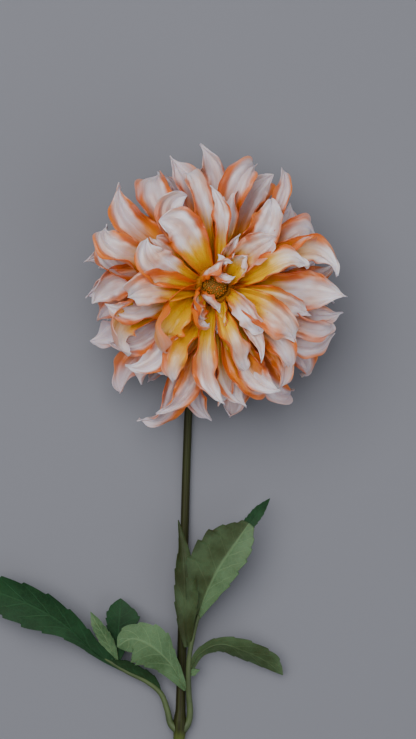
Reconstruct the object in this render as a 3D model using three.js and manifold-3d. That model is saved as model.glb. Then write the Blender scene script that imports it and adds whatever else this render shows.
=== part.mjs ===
// A cut dahlia lying face up on a table: one bloom, its stem with a bent neck, and two compound leaves.
// Millimetres, +Z up, the table at Z = 0. Azimuths are degrees, anticlockwise seen from above, from +X.
// The bloom's axis is vertical, and the stem runs along the table towards -Y.
import * as THREE from "three";
import { mergeVertices } from "three/addons/utils/BufferGeometryUtils.js";
import Module from "manifold-3d";

const wasm = await Module();
wasm.setup();

// Driving dimensions
const PETAL_THICKNESS = 1.6;
const PETAL_PRESSED_THICKNESS = 1.2;
const LEAF_THICKNESS = 1.3;
const BRACT_THICKNESS = 1.5;
const TABLE_HEIGHT = 0;
const CLEARANCE = 0.35;

// The fleshy head that the petals grow from, as radius and height up its side, and the round room in its
// top for the disc of florets
const HEAD_BOTTOM = 24;
const HEAD_TOP = 53.5;
const HEAD_SIDE = [
  [11, HEAD_BOTTOM],
  [17, 26.5],
  [20, 30],
  [19, 35],
  [15.5, 42.5],
  [9.5, HEAD_TOP],
];
const HEAD_SIDES = 14;
const DISC_RADIUS = 7.2;
const DISC_BASE = 50.6;
const DISC_TOP = 60;
const DISC_SIDE = [
  [7, DISC_BASE],
  [7, 53.4],
  [5.6, 54.9],
  [2.8, 55.6],
];
const DISC_SIDES = 20;
const ROOM_SIDES = 24;

// The florets that stud the disc's dome
const FLORETS = 60;
const FLORET_RADIUS = 0.75;
const FLORET_LENGTH = 3;
const FLORET_SIDES = 5;
const FLORET_RING = 6.1;
const FLORET_HEIGHT = 56.1;
const FLORET_DROP = 1.7;
const DOME_UNDER = 0.3;

// The green cup under the head, and the height at which the stem meets it
const CUP_BOTTOM = 19;
const CUP_RADIUS = 10.5;
const CUP_TOP = HEAD_BOTTOM - CLEARANCE;
const CUP_SIDE = [
  [4.5, CUP_BOTTOM],
  [8.5, 20.4],
  [CUP_RADIUS, 22.2],
  [CUP_RADIUS, CUP_TOP],
];
const CUP_SIDES = 16;
const CUP_ROOM = 3;
const NECK_TOP = CUP_BOTTOM - CLEARANCE;

const FULL_TURN = 360;
const HALF_TURN = 180;
const GOLDEN_ANGLE = 137.508;
const SEED = 20261;

// The shares of a petal's length at which its section is drawn, fewer on petals further back
const PETAL_STATIONS = [0, 0.24, 0.44, 0.6, 0.74, 0.86, 0.95];
const BACK_STATIONS = [0, 0.28, 0.52, 0.72, 0.88];
const HIDDEN_STATIONS = [0, 0.3, 0.58, 0.82];

// Each ring of petals: where its roots sit, how steeply they leave the head, how far they arch over, how
// high the tips end and how steeply they come down there
const RINGS = {
  heart: {
    rootRadius: 8.4, rootHeight: 48, rise: 76,
    arch: 0.1, tipHeight: 63, fall: 5,
  },
  inner: {
    rootRadius: 9, rootHeight: 46, rise: 54,
    arch: 0.06, tipHeight: 66, fall: -12,
  },
  middle: {
    rootRadius: 10.5, rootHeight: 41, rise: 42,
    arch: 0.06, tipHeight: 56, fall: -20,
  },
  outer: {
    rootRadius: 12, rootHeight: 35, rise: 30,
    arch: 0.06, tipHeight: 43, fall: -22,
  },
  back: {
    rootRadius: 13.5, rootHeight: 32, rise: 14,
    arch: 0.05, tipHeight: 27, fall: -25, stations: BACK_STATIONS,
  },
  under: {
    rootRadius: 13.5, rootHeight: 30, rise: 0,
    arch: 0.03, tipHeight: 11, fall: -42, stations: HIDDEN_STATIONS,
  },
  lowest: {
    rootRadius: 12, rootHeight: 28, rise: -8,
    arch: 0.02, tipHeight: -6, fall: -30, stations: HIDDEN_STATIONS,
  },
};
const LIFT_SHARE = 0.33;
const TIP_SHARE = 0.28;

// How a petal widens from its claw, where it is widest, and how it tapers from there
const CLAW_WIDTH = 0.46;
const WIDEST = 0.57;
const TAPER = 2.9;
const POINT = 1.5;
const CLAW_CURL = 80;
const MARGIN_CURL = 50;

// The end of a petal turns in the petal's own plane and up or down, all beyond this share of its length
const FLICK_START = 0.58;
const HOOK_SHARE = 0.4;

// Each petal has waves of its own: how far they curl the margins to and fro, how far they widen and narrow
// it, how many there are, and how far it may twist, bow to one side and turn up or down at its end
const WAVE_CURL = 52;
const WAVE_SWELL = 0.12;
const FEWEST_WAVES = 1.5;
const TWIST_SPREAD = 56;
const SWAY_SPREAD = 10;
const KICK_LOWEST = -70;
const KICK_SPREAD = 120;

// The shares of a petal's length between which its waves, its swelling, its opening out from the claw and
// its roll come in
const WAVES_COME = [0.2, 0.5];
const SWELL_COMES = [0.1, 0.4];
const OPENING_COMES = [0.3, 0.85];
const ROLL_COMES = [0.35, 1];

// The petals that show from the front. from and to are the azimuths of root and tip, reach is the tip's
// distance from the axis, hook turns the petal's end away from straight out, roll turns the blade about its
// length, and left and right say how far each margin curls up, all angles in degrees. point is how drawn out
// the tip is, and calm the share of its own waves that a petal shows.
const SHOWN_PETALS = [
  {
    ring: "heart", from: 205, to: 282, reach: 15, hook: 100, width: 8.5,
    height: 60, fall: 0, roll: 20, flick: 40, kick: 0, calm: 0.5,
  },
  {
    ring: "heart", from: 150, to: 80, reach: 17, hook: -45, width: 11,
    height: 65, kick: -20, point: 1, calm: 0.6,
  },
  {
    ring: "heart", from: 102, to: 22, reach: 12, hook: -70, width: 9,
    height: 63, roll: -20, flick: -40, kick: 0, calm: 0.5,
  },
  { ring: "heart", from: 74, to: 56, reach: 16.5, hook: -70, width: 7, height: 67, kick: 0, calm: 0.4 },
  {
    ring: "heart", from: 32, to: 42, reach: 23, hook: 0, width: 22,
    height: 67, fall: 45, left: 90, right: 90, kick: 30, point: 0.5, calm: 0.1,
  },
  {
    ring: "heart", from: 214, to: 258, reach: 24.5, hook: 110, width: 15,
    height: 64, roll: 20, left: 60, right: 60, kick: 20, calm: 0.4,
  },
  {
    ring: "heart", from: 198, to: 248, reach: 20.5, hook: 100, width: 12,
    height: 66, left: 60, right: 60, flick: 60, kick: 0, calm: 0.2,
  },
  { ring: "heart", from: 294, to: 272, reach: 27, hook: -15, width: 10, height: 58, calm: 0.5 },
  { ring: "heart", from: 318, to: 308, reach: 19, hook: -40, width: 8, height: 58.5 },
  {
    ring: "heart", from: 335, to: 313, reach: 36.5, hook: -42, width: 15,
    height: 68, left: 45, right: 45, flick: -15, kick: -30, point: 0.5, calm: 0.1,
  },

  {
    ring: "inner", from: 170, to: 147, reach: 46, hook: -50, width: 24,
    height: 71, roll: 10, left: 45, right: 30, kick: 10, point: 1.3, calm: 0.15,
  },
  {
    ring: "inner", from: 118, to: 131, reach: 47, hook: 40, width: 27,
    left: 75, right: 35, kick: 20, point: 0.9, calm: 0.2,
  },
  {
    ring: "inner", from: 46, to: 38, reach: 44, hook: -12, width: 22,
    height: 64.5, roll: -10, left: 60, right: 70, kick: -20, calm: 0.4,
  },
  {
    ring: "inner", from: 72, to: 64, reach: 32, hook: -10, width: 11,
    height: 67, left: 120, right: 120, kick: 0, calm: 0.2,
  },
  { ring: "inner", from: 82, to: 92, reach: 56, hook: 20, width: 13, left: 55, right: 55 },
  { ring: "inner", from: 6, to: 12, reach: 53, hook: -30, width: 18, height: 64.5, roll: 25, calm: 0.18 },
  {
    ring: "inner", from: 350, to: 343, reach: 56, hook: -10, width: 19,
    height: 58.5, right: 60, calm: 0.6,
  },
  { ring: "inner", from: 338, to: 326, reach: 54, hook: -20, width: 24, left: 60, right: 60, calm: 0.12 },
  {
    ring: "inner", from: 310, to: 300, reach: 50, hook: -25, width: 10,
    height: 72, left: 75, right: 75, calm: 0.6,
  },
  {
    ring: "inner", from: 198, to: 235, reach: 47, hook: 70, width: 29,
    height: 64, roll: 35, left: 95, right: 110, kick: 0, calm: 0.09,
  },
  {
    ring: "inner", from: 188, to: 187, reach: 49, hook: 15, width: 24,
    height: 69.5, fall: 0, roll: 10, left: 60, right: 60, point: 1, calm: 0.24,
  },
  {
    ring: "inner", from: 242, to: 232, reach: 58, hook: -40, width: 19,
    height: 49.5, roll: -30, kick: 25, point: 0.9, calm: 0.6,
  },
  { ring: "inner", from: 260, to: 275, reach: 66, hook: 30, width: 17, height: 63, left: 55 },
  { ring: "inner", from: 24, to: 26, reach: 48, hook: 20, width: 17, height: 56 },
  { ring: "inner", from: 282, to: 290, reach: 52, hook: 10, width: 17, height: 56 },
  { ring: "inner", from: 222, to: 218, reach: 36, hook: -20, width: 13, height: 50 },

  {
    ring: "middle", from: 126, to: 110, reach: 53, hook: -75, width: 21,
    height: 59, left: 60, point: 0.8, calm: 0.24,
  },
  { ring: "middle", from: 96, to: 104, reach: 66, hook: 25, width: 15, calm: 1 },
  {
    ring: "middle", from: 44, to: 56, reach: 58, hook: 25, width: 23,
    height: 59, right: 55, point: 1.1, calm: 0.4,
  },
  { ring: "middle", from: 30, to: 6, reach: 68, hook: -55, width: 20, roll: 20, left: 40, calm: 0.5 },
  {
    ring: "middle", from: 3, to: 355, reach: 74, hook: -5, width: 25,
    height: 59, left: 35, right: 30, point: 1.7, calm: 0.2,
  },
  {
    ring: "middle", from: 198, to: 216, reach: 63, hook: 75, width: 26,
    height: 53, roll: 40, left: 100, right: 100, kick: 10, calm: 0.4,
  },
  { ring: "middle", from: 197, to: 190, reach: 63, hook: -30, width: 18, height: 57.5 },
  { ring: "middle", from: 162, to: 153, reach: 71, hook: -40, width: 24, left: 55, point: 1.8 },
  {
    ring: "middle", from: 228, to: 222, reach: 67, hook: -45, width: 18,
    height: 54.5, roll: -25, calm: 0.3,
  },
  { ring: "middle", from: 278, to: 285, reach: 70, hook: 25, width: 19, height: 50, right: 55 },
  { ring: "middle", from: 296, to: 302, reach: 69, hook: 35, width: 19, roll: 15, kick: 30, point: 1.2 },
  { ring: "middle", from: 316, to: 312, reach: 64, hook: -25, width: 18, height: 54.5 },
  { ring: "middle", from: 142, to: 143, reach: 47, hook: 10, width: 15, height: 52 },
  { ring: "middle", from: 80, to: 79, reach: 62, hook: -15, width: 17, height: 51.5 },
  { ring: "middle", from: 246, to: 246, reach: 60, hook: 20, width: 17, height: 62 },

  { ring: "outer", from: 82, to: 72, reach: 73, hook: -30, width: 21, height: 52, left: 60, calm: 0.6 },
  {
    ring: "outer", from: 66, to: 62, reach: 71, hook: -25, width: 21,
    height: 50, kick: 30, point: 1, calm: 0.6,
  },
  {
    ring: "outer", from: 42, to: 60, reach: 78, hook: 34, width: 14,
    height: 48, right: 60, point: 1.8, calm: 0.5,
  },
  {
    ring: "outer", from: 26, to: 27, reach: 64, hook: -35, width: 23,
    height: 47, left: 60, kick: -60, point: 0.8, calm: 0.6,
  },
  { ring: "outer", from: 352, to: 348.5, reach: 75, hook: 20, width: 18 },
  { ring: "outer", from: 335, to: 341.5, reach: 71, hook: 30, width: 17, height: 48 },
  { ring: "outer", from: 322, to: 337, reach: 73, hook: 45, width: 18, left: 55 },
  { ring: "outer", from: 312, to: 303, reach: 69, hook: -45, width: 17, height: 50 },
  { ring: "outer", from: 286, to: 297, reach: 66, hook: 35, width: 23, right: 55, calm: 0.6 },
  { ring: "outer", from: 273, to: 272, reach: 68, hook: -20, width: 17, height: 40 },
  { ring: "outer", from: 256, to: 245, reach: 79, hook: -30, width: 17, height: 46, left: 55 },
  {
    ring: "outer", from: 176, to: 188, reach: 70, hook: 30, width: 23,
    height: 52, left: 55, kick: 20, point: 1,
  },
  { ring: "outer", from: 170, to: 157, reach: 71, hook: -50, width: 17 },
  {
    ring: "outer", from: 144, to: 134, reach: 79, hook: -35, width: 23,
    height: 51, left: 55, kick: -15, point: 2.1, calm: 0.5,
  },
  {
    ring: "outer", from: 127, to: 118, reach: 73, hook: -30, width: 24,
    height: 37, right: 60, point: 1, calm: 0.5,
  },
  { ring: "outer", from: 103, to: 109, reach: 78, hook: 14, width: 20, height: 48, right: 40, calm: 0.6 },
  { ring: "outer", from: 86, to: 96.5, reach: 80, hook: 30, width: 21, height: 48, right: 55 },
  { ring: "outer", from: 236, to: 233, reach: 70, hook: 25, width: 19, height: 38.5, point: 0.9 },
  { ring: "outer", from: 212, to: 208, reach: 68, hook: -30, width: 21, height: 46, kick: 0, calm: 0.3 },
  { ring: "outer", from: 8, to: 12, reach: 70, hook: 30, width: 17 },

  { ring: "back", from: 114, to: 114, reach: 71, hook: 20, width: 17 },
  { ring: "back", from: 163, to: 169, reach: 76, hook: 30, width: 17 },
  { ring: "back", from: 178, to: 184, reach: 75, hook: 20, width: 17 },
  { ring: "back", from: 212, to: 203, reach: 79, hook: -10, width: 24, point: 0.9 },
  { ring: "back", from: 226, to: 228, reach: 81, hook: 30, width: 19, point: 0.8 },
  { ring: "back", from: 247, to: 241, reach: 88, hook: -45, width: 17 },
  { ring: "back", from: 258, to: 268, reach: 77, hook: 35, width: 17 },
  { ring: "back", from: 285, to: 276, reach: 74, hook: -20, width: 21, point: 0.8 },
  { ring: "back", from: 300, to: 306, reach: 75, hook: 35, width: 17 },
  { ring: "back", from: 322, to: 316, reach: 72, hook: -35, width: 17 },
  { ring: "back", from: 338, to: 334, reach: 68, hook: 20, width: 17 },
  { ring: "back", from: 350, to: 353, reach: 70, hook: -20, width: 17 },
  { ring: "back", from: 30, to: 20, reach: 68, hook: -30, width: 17 },
  { ring: "back", from: 50, to: 48, reach: 66, hook: 25, width: 17 },
  { ring: "back", from: 70, to: 79, reach: 72, hook: 25, width: 17 },
  { ring: "back", from: 96, to: 90, reach: 72, hook: -25, width: 17 },
  { ring: "back", from: 142, to: 147, reach: 70, hook: 30, width: 17 },
  { ring: "back", from: 192, to: 195, reach: 70, hook: 20, width: 17 },
];

// The hidden petals behind, set out by the golden angle like the real ones
const HIDDEN_WHORLS = [
  { ring: "under", count: 17, reach: 66, width: 15 },
  { ring: "lowest", count: 13, reach: 50, width: 14 },
];
const FIRST_AZIMUTH = 20;
const LEAN_SPREAD = 16;
const REACH_SPREAD = 8;
const HOOK_SPREAD = 50;
const ROLL_SPREAD = 30;

// Hidden petals this close in azimuth to the stem's way end above it
const STEM_AZIMUTH = 255;
const STEM_WAY = 22;
const OVER_STEM = 14;

// The stem's centre line, from the cut end to the neck's top, with its radius at each point
const STEM_LINE = [
  { at: [-22.4, -297.8, 3.3], radius: 3.1 },
  { at: [-21.4, -270, 3.3], radius: 3.2 },
  { at: [-20.8, -261, 3.9], radius: 3.9 },
  { at: [-20.7, -256.5, 3.9], radius: 3.9 },
  { at: [-20.4, -250, 3.2], radius: 2.9 },
  { at: [-18.4, -161, 2.6], radius: 2.5 },
  { at: [-16.5, -95, 2.5], radius: 2.4 },
  { at: [-15.0, -66, 2.5], radius: 2.4 },
  { at: [-10.5, -40, 2.7], radius: 2.45 },
  { at: [-5.4, -20, 4.2], radius: 2.5 },
  { at: [-2.2, -8, 7.4], radius: 2.6 },
  { at: [-0.5, -1.8, 12.2], radius: 2.8 },
  { at: [0, 0, NECK_TOP - 2], radius: 3 },
  { at: [0, 0, NECK_TOP], radius: 3.2 },
];
const STEM_SIDES = 10;
const STEM_RINGS = 34;

// The two compound leaves. A leaf's rachis is a tapering tube through its points. Each leaflet is a blade
// along a line of points. Its stations give the share of that line, the widths left and right of it as seen
// from base to tip, and how far the blade is turned about the line there. Its margins curl up by fold.
const RIGHT_LEAF = {
  rachis: [
    [-19, -261.5, 3.9],
    [-16.1, -258.2, 4.3],
    [-14.7, -252.1, 4.8],
    [-15.3, -242, 6],
    [-15.7, -229.8, 8.2],
    [-15.1, -217.7, 9.8],
    [-12.3, -202.6, 11.5],
    [-9.7, -192.6, 13],
  ],
  radii: [2.1, 1.2],
  leaflets: [
    {
      line: [
        [-10.3, -194.6, 12.5],
        [-4.4, -178.3, 17],
        [3, -163.3, 20],
        [10.9, -151.5, 21],
        [16.5, -143.2, 20.5],
        [20, -137.8, 19.5],
      ],
      stations: [
        [0, 1.5, 1.5, 0],
        [0.08, 8, 4, 0],
        [0.22, 15, 8.5, 0],
        [0.38, 21.5, 12, 0],
        [0.56, 20.5, 12, 0],
        [0.74, 13.5, 9.5, 0],
        [0.9, 6.5, 5.5, 0],
        [0.98, 4.2, 3.9, 0],
      ],
      fold: 30,
    },
    {
      line: [
        [-16.2, -211.7, 10],
        [-17.4, -197.3, 14],
        [-17.3, -181.3, 17],
        [-17.9, -165.5, 18],
        [-18.9, -151.9, 17],
        [-21.5, -136.3, 15],
      ],
      stations: [
        [0, 2, 2, 0],
        [0.2, 5, 6, 0],
        [0.4, 7.4, 8.6, 0],
        [0.6, 6.4, 7, 0],
        [0.8, 2.8, 3.6, 0],
        [0.92, 1.2, 1.5, 0],
      ],
      fold: 45,
    },
    {
      line: [
        [-15.5, -228.8, 7.5],
        [-8.7, -215.3, 12],
        [3.1, -209.3, 16],
        [16.8, -213.3, 15],
        [30.8, -220.7, 10],
        [40.5, -229.1, 5],
      ],
      stations: [
        [0, 1.2, 1.2, 0],
        [0.2, 3, 3, -10],
        [0.4, 5, 8, -20],
        [0.6, 8.6, 8.8, -20],
        [0.8, 8, 6, -15],
        [0.92, 4.2, 2.6, -10],
      ],
      fold: -20,
    },
    {
      line: [
        [-17.1, -237.8, 7],
        [-26.4, -220.9, 14],
        [-38, -209.3, 20],
        [-48.8, -205.3, 21.5],
        [-57.4, -210.3, 19.5],
      ],
      stations: [
        [0, 1.2, 1.2, 0],
        [0.25, 9.5, 5.5, 0],
        [0.5, 16.5, 13, 0],
        [0.75, 14.5, 9, 0],
        [0.9, 9, 5, 0],
      ],
      fold: -16,
    },
    {
      line: [
        [-15.5, -229, 7.5],
        [-13.1, -226.7, 8.5],
        [-8.7, -225.6, 9],
      ],
      stations: [
        [0, 0.8, 0.8, 0],
        [0.5, 2, 3, 0],
      ],
      fold: 15,
    },
    {
      line: [
        [17.2, -141.5, 19.2],
        [20.6, -137.6, 18.7],
        [26, -131, 17],
        [32.6, -123.7, 13],
      ],
      stations: [
        [0, 2.4, 2.4, 0],
        [0.3, 4, 4, 0],
        [0.62, 3.7, 3.7, 0],
        [0.85, 1.9, 1.9, 0],
      ],
      fold: 15,
    },
  ],
};
const LEFT_LEAF = {
  rachis: [
    [-22, -262, 3.9],
    [-26.2, -258, 4.3],
    [-28.2, -250.1, 4.8],
    [-32.1, -240.1, 5.2],
    [-40.4, -233, 6],
    [-52.3, -226.9, 7.2],
    [-68, -216.7, 9.5],
    [-77.7, -209.6, 11.5],
  ],
  radii: [2.1, 0.9],
  leaflets: [
    {
      line: [
        [-52.3, -227.3, 7],
        [-70.8, -215.7, 11],
        [-87.2, -199.3, 15],
        [-106.6, -187.3, 17],
        [-126.5, -179.8, 14],
        [-141, -176.6, 8],
      ],
      stations: [
        [0, 0.8, 1.5, 0],
        [0.2, 1.8, 6.5, 0],
        [0.4, 8, 9.5, 5],
        [0.6, 14, 12, 8],
        [0.8, 12.6, 11, 8],
        [0.93, 6, 6, 8],
      ],
      fold: 16,
    },
    {
      line: [
        [-57.7, -221.7, 8.5],
        [-64.1, -207, 11.5],
        [-69.5, -197.8, 13.5],
        [-73.4, -190.7, 13],
      ],
      stations: [
        [0, 1, 1, 0],
        [0.33, 5, 5, 20],
        [0.67, 3.8, 3.8, 20],
      ],
      fold: 25,
    },
    {
      line: [
        [-57.7, -221.7, 7.8],
        [-57.6, -205.5, 10.5],
        [-56.4, -193.7, 10.5],
        [-55.8, -183.3, 7.5],
      ],
      stations: [
        [0, 1, 1, 0],
        [0.33, 5.5, 8.5, 0],
        [0.67, 8.4, 12.6, 0],
        [0.87, 5.5, 6, 0],
      ],
      fold: 15,
    },
    {
      line: [
        [-31.5, -241.5, 5],
        [-40, -232.6, 6.5],
        [-52, -226.5, 8],
        [-62, -219.5, 9.5],
      ],
      stations: [
        [0, 0.8, 0.8, 0],
        [0.35, 1, 6, 10],
        [0.7, 1, 7, 10],
      ],
      fold: 15,
    },
  ],
};
const RACHIS_SIDES = 7;
const RACHIS_RINGS = 14;

// The two whorls of bracts on the cup: the outer one turned down, the inner one under the petals
const BRACTS = [
  {
    count: 6, turn: 0, rootRadius: 6, rootHeight: 20.3, rise: -12,
    reach: 23, tipHeight: 13.5, fall: -30, width: 8,
  },
  {
    count: 8, turn: 22, rootRadius: 7, rootHeight: 22, rise: 10,
    reach: 21, tipHeight: 21, fall: -8, width: 11,
  },
];
const BRACT_ARM = 0.4;
const BRACT_CURL = 17;
const BRACT_STATIONS = [0, 0.4, 0.75];

const SPINE_STEPS = 48;
const FLATTEST_CURL = 0.001;

const radians = THREE.MathUtils.degToRad;
const { lerp, smoothstep } = THREE.MathUtils;
const UP = new THREE.Vector3(0, 0, 1);

// A repeatable draw between 0 and 1
function seededDraw(seed) {
  let state = seed >>> 0;
  return () => {
    state = (Math.imul(state, 1664525) + 1013904223) >>> 0;
    return state / 4294967296;
  };
}

// The horizontal direction at an azimuth, lifted by an elevation
function direction(azimuth, elevation) {
  const level = Math.cos(radians(elevation));
  return new THREE.Vector3(
    level * Math.cos(radians(azimuth)),
    level * Math.sin(radians(azimuth)),
    Math.sin(radians(elevation)),
  );
}

function polar(radius, azimuth, height) {
  return direction(azimuth, 0).multiplyScalar(radius).setZ(height);
}

// Turns a closed geometry into a solid that can be joined and cut
function solidOf(geometry) {
  const bare = geometry.clone();
  bare.deleteAttribute("normal");
  bare.deleteAttribute("uv");
  const merged = mergeVertices(bare, 1e-4);
  return new wasm.Manifold(
    new wasm.Mesh({
      numProp: 3,
      vertProperties: merged.attributes.position.array,
      triVerts: new Uint32Array(merged.index.array),
    }),
  );
}

// The solid's largest body, with any hollow sealed inside it filled and slivers smoothed away
function wholeBody(solid) {
  const bodies = solid.simplify(0.02).decompose();
  return bodies.reduce((largest, body) => (body.volume() > largest.volume() ? body : largest));
}

function geometryOf(solid) {
  const mesh = solid.getMesh();
  const stride = mesh.numProp;
  const positions = new Float32Array(mesh.numVert * 3);
  for (let i = 0; i < mesh.numVert; i += 1) {
    positions.set(mesh.vertProperties.subarray(i * stride, i * stride + 3), i * 3);
  }
  const geometry = new THREE.BufferGeometry();
  geometry.setAttribute("position", new THREE.BufferAttribute(positions, 3));
  geometry.setIndex(new THREE.BufferAttribute(mesh.triVerts, 1));
  geometry.computeVertexNormals();
  return geometry;
}

function join(solids) {
  return wasm.Manifold.union(solids);
}

// The frame along a spine: the point, the side direction across the blade and the face direction out of it,
// carried along without twisting from the side direction at the root
function spineFrames(spine, rootSide) {
  const frames = [];
  let side = rootSide.clone();
  for (let i = 0; i <= SPINE_STEPS; i += 1) {
    const t = i / SPINE_STEPS;
    const along = spine.getTangent(t);
    side = side.clone().addScaledVector(along, -side.dot(along)).normalize();
    frames.push({ point: spine.getPoint(t), side, face: side.clone().cross(along).normalize() });
  }
  return frames;
}

// The same frames with their end turned step by step: by flick in the blade's plane and by kick towards its
// face, both in degrees
function bentFrames(frames, flick, kick) {
  const turn = new THREE.Quaternion();
  const bent = [frames[0]];
  for (let i = 1; i <= SPINE_STEPS; i += 1) {
    const { point, side, face } = frames[i];
    const share = (step) => smoothstep(step / SPINE_STEPS, FLICK_START, 1);
    const step = share(i) - share(i - 1);
    turn.multiply(new THREE.Quaternion().setFromAxisAngle(face, radians(flick) * step));
    turn.multiply(new THREE.Quaternion().setFromAxisAngle(side, radians(kick) * step));
    const advance = point.clone().sub(frames[i - 1].point).applyQuaternion(turn);
    bent.push({
      point: bent[i - 1].point.clone().add(advance),
      side: side.clone().applyQuaternion(turn),
      face: face.clone().applyQuaternion(turn),
    });
  }
  return bent;
}

function frameAt(frames, t) {
  const place = t * SPINE_STEPS;
  const i = Math.min(Math.floor(place), SPINE_STEPS - 1);
  const share = place - i;
  return {
    point: frames[i].point.clone().lerp(frames[i + 1].point, share),
    side: frames[i].side.clone().lerp(frames[i + 1].side, share).normalize(),
    face: frames[i].face.clone().lerp(frames[i + 1].face, share).normalize(),
  };
}

// A thin curved blade with a raised middle and sharp margins, closed, tapering to a point. Each margin lies
// at its own distance from the spine and curls towards the face by its own angle, and the blade is turned
// about its spine by a roll.
function bladeGeometry({ frames, stations, halfWidths, curls, roll, thickness }) {
  const positions = [];
  const faces = [];
  for (const t of stations) {
    const { point, side, face } = frameAt(frames, t);
    const turn = roll(t);
    const across = side.clone().multiplyScalar(Math.cos(turn)).addScaledVector(face, Math.sin(turn));
    const out = face.clone().multiplyScalar(Math.cos(turn)).addScaledVector(side, -Math.sin(turn));
    const [leftWidth, rightWidth] = halfWidths(t);
    const [leftCurl, rightCurl] = curls(t);
    const margin = (width, curl, sign) => {
      const bend = Math.abs(curl) < FLATTEST_CURL ? FLATTEST_CURL : curl;
      return point
        .clone()
        .addScaledVector(across, (sign * width * Math.sin(bend)) / bend)
        .addScaledVector(out, (width * (1 - Math.cos(bend))) / bend);
    };
    const upper = point.clone().addScaledVector(out, thickness / 2);
    const lower = point.clone().addScaledVector(out, -thickness / 2);
    const ring = [margin(leftWidth, leftCurl, -1), upper, margin(rightWidth, rightCurl, 1), lower];
    for (const vertex of ring) {
      vertex.z = Math.max(vertex.z, TABLE_HEIGHT);
    }
    if (Math.min(upper.z, lower.z) < PETAL_PRESSED_THICKNESS / 2) {
      const top = upper.z >= lower.z ? upper : lower;
      top.z = Math.max(top.z, TABLE_HEIGHT + PETAL_PRESSED_THICKNESS);
    }
    for (const vertex of ring) {
      positions.push(vertex.x, vertex.y, vertex.z);
    }
  }
  const last = frameAt(frames, 1).point;
  positions.push(last.x, last.y, Math.max(last.z, TABLE_HEIGHT + PETAL_PRESSED_THICKNESS / 2));
  const rings = stations.length;
  faces.push(0, 1, 2, 0, 2, 3);
  for (let i = 0; i < rings - 1; i += 1) {
    const [left, upper, right, lower] = [0, 1, 2, 3].map((k) => i * 4 + k);
    const [nextLeft, nextUpper, nextRight, nextLower] = [4, 5, 6, 7].map((k) => i * 4 + k);
    faces.push(left, nextLeft, nextUpper, left, nextUpper, upper);
    faces.push(upper, nextUpper, right, right, nextUpper, nextRight);
    faces.push(right, nextRight, nextLower, right, nextLower, lower);
    faces.push(lower, nextLower, left, left, nextLower, nextLeft);
  }
  const tip = rings * 4;
  for (let k = 0; k < 4; k += 1) {
    faces.push((rings - 1) * 4 + k, tip, (rings - 1) * 4 + ((k + 1) % 4));
  }
  const geometry = new THREE.BufferGeometry();
  geometry.setAttribute("position", new THREE.Float32BufferAttribute(positions, 3));
  geometry.setIndex(faces);
  return geometry;
}

// The solid of a closed geometry, turned outwards where its faces point in
function outwardSolid(geometry) {
  const solid = solidOf(geometry);
  if (solid.volume() > 0) {
    return solid;
  }
  const index = geometry.getIndex().array;
  const flipped = geometry.clone();
  flipped.setIndex(Array.from(index, (_, i) => index[i - (i % 3) + ((i % 3) * 2) % 3]));
  return solidOf(flipped);
}

// A smooth curve drawn towards each of its points in turn, and reaching only the first and the last
class PetalSpine extends THREE.Curve {
  constructor(points) {
    super();
    this.points = points;
  }

  getPoint(t, target = new THREE.Vector3()) {
    let points = this.points;
    while (points.length > 1) {
      points = points.slice(1).map((point, i) => points[i].clone().lerp(point, t));
    }
    return target.copy(points[0]);
  }
}

// A petal is narrow at its claw, widest a little past the middle, and drawn out to a point, or rounded off
// where its point is below 1
function petalShape(t, point) {
  if (t <= WIDEST) {
    return lerp(CLAW_WIDTH, 1, smoothstep(t, 0, WIDEST));
  }
  const past = (t - WIDEST) / (1 - WIDEST);
  return Math.pow(1 - Math.pow(past, TAPER), point);
}

// The waves of one petal, drawn at random
function drawnRuffle(draw) {
  return {
    left: draw(),
    right: draw(),
    waves: FEWEST_WAVES + draw(),
    twist: (draw() - 0.5) * TWIST_SPREAD,
    sway: (draw() - 0.5) * SWAY_SPREAD,
    kick: KICK_LOWEST + draw() * KICK_SPREAD,
  };
}

// The frames along a petal from its root on the head to its tip. The curve is drawn twice, because turning
// its end moves the tip, and the second curve makes up for that.
function petalFrames(petal, ruffle) {
  const ring = RINGS[petal.ring];
  const { from, to, reach, hook } = petal;
  const root = polar(ring.rootRadius, from, ring.rootHeight);
  const tip = polar(reach, to, petal.height ?? ring.tipHeight);
  const pointing = direction(to + hook * HOOK_SHARE, petal.fall ?? ring.fall);
  const flick = petal.flick ?? hook;
  const kick = petal.kick ?? ruffle.kick;
  const drawn = (aim) => {
    const chord = root.distanceTo(aim);
    const lift = root.clone().addScaledVector(direction(from, ring.rise), chord * LIFT_SHARE);
    const knee = aim.clone().addScaledVector(pointing, -chord * TIP_SHARE);
    const kneeAzimuth = THREE.MathUtils.radToDeg(Math.atan2(knee.y, knee.x));
    const swing = ((kneeAzimuth - from + FULL_TURN + HALF_TURN) % FULL_TURN) - HALF_TURN;
    const belly = polar(
      (Math.hypot(lift.x, lift.y) + Math.hypot(knee.x, knee.y)) / 2,
      from + swing / 2 + ruffle.sway,
      (lift.z + knee.z) / 2 + chord * ring.arch,
    );
    const spine = new PetalSpine([root, lift, belly, knee, aim]);
    return bentFrames(spineFrames(spine, direction(from - 90, 0)), flick, kick);
  };
  const first = drawn(tip);
  return drawn(tip.clone().multiplyScalar(2).sub(first[SPINE_STEPS].point));
}

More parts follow.
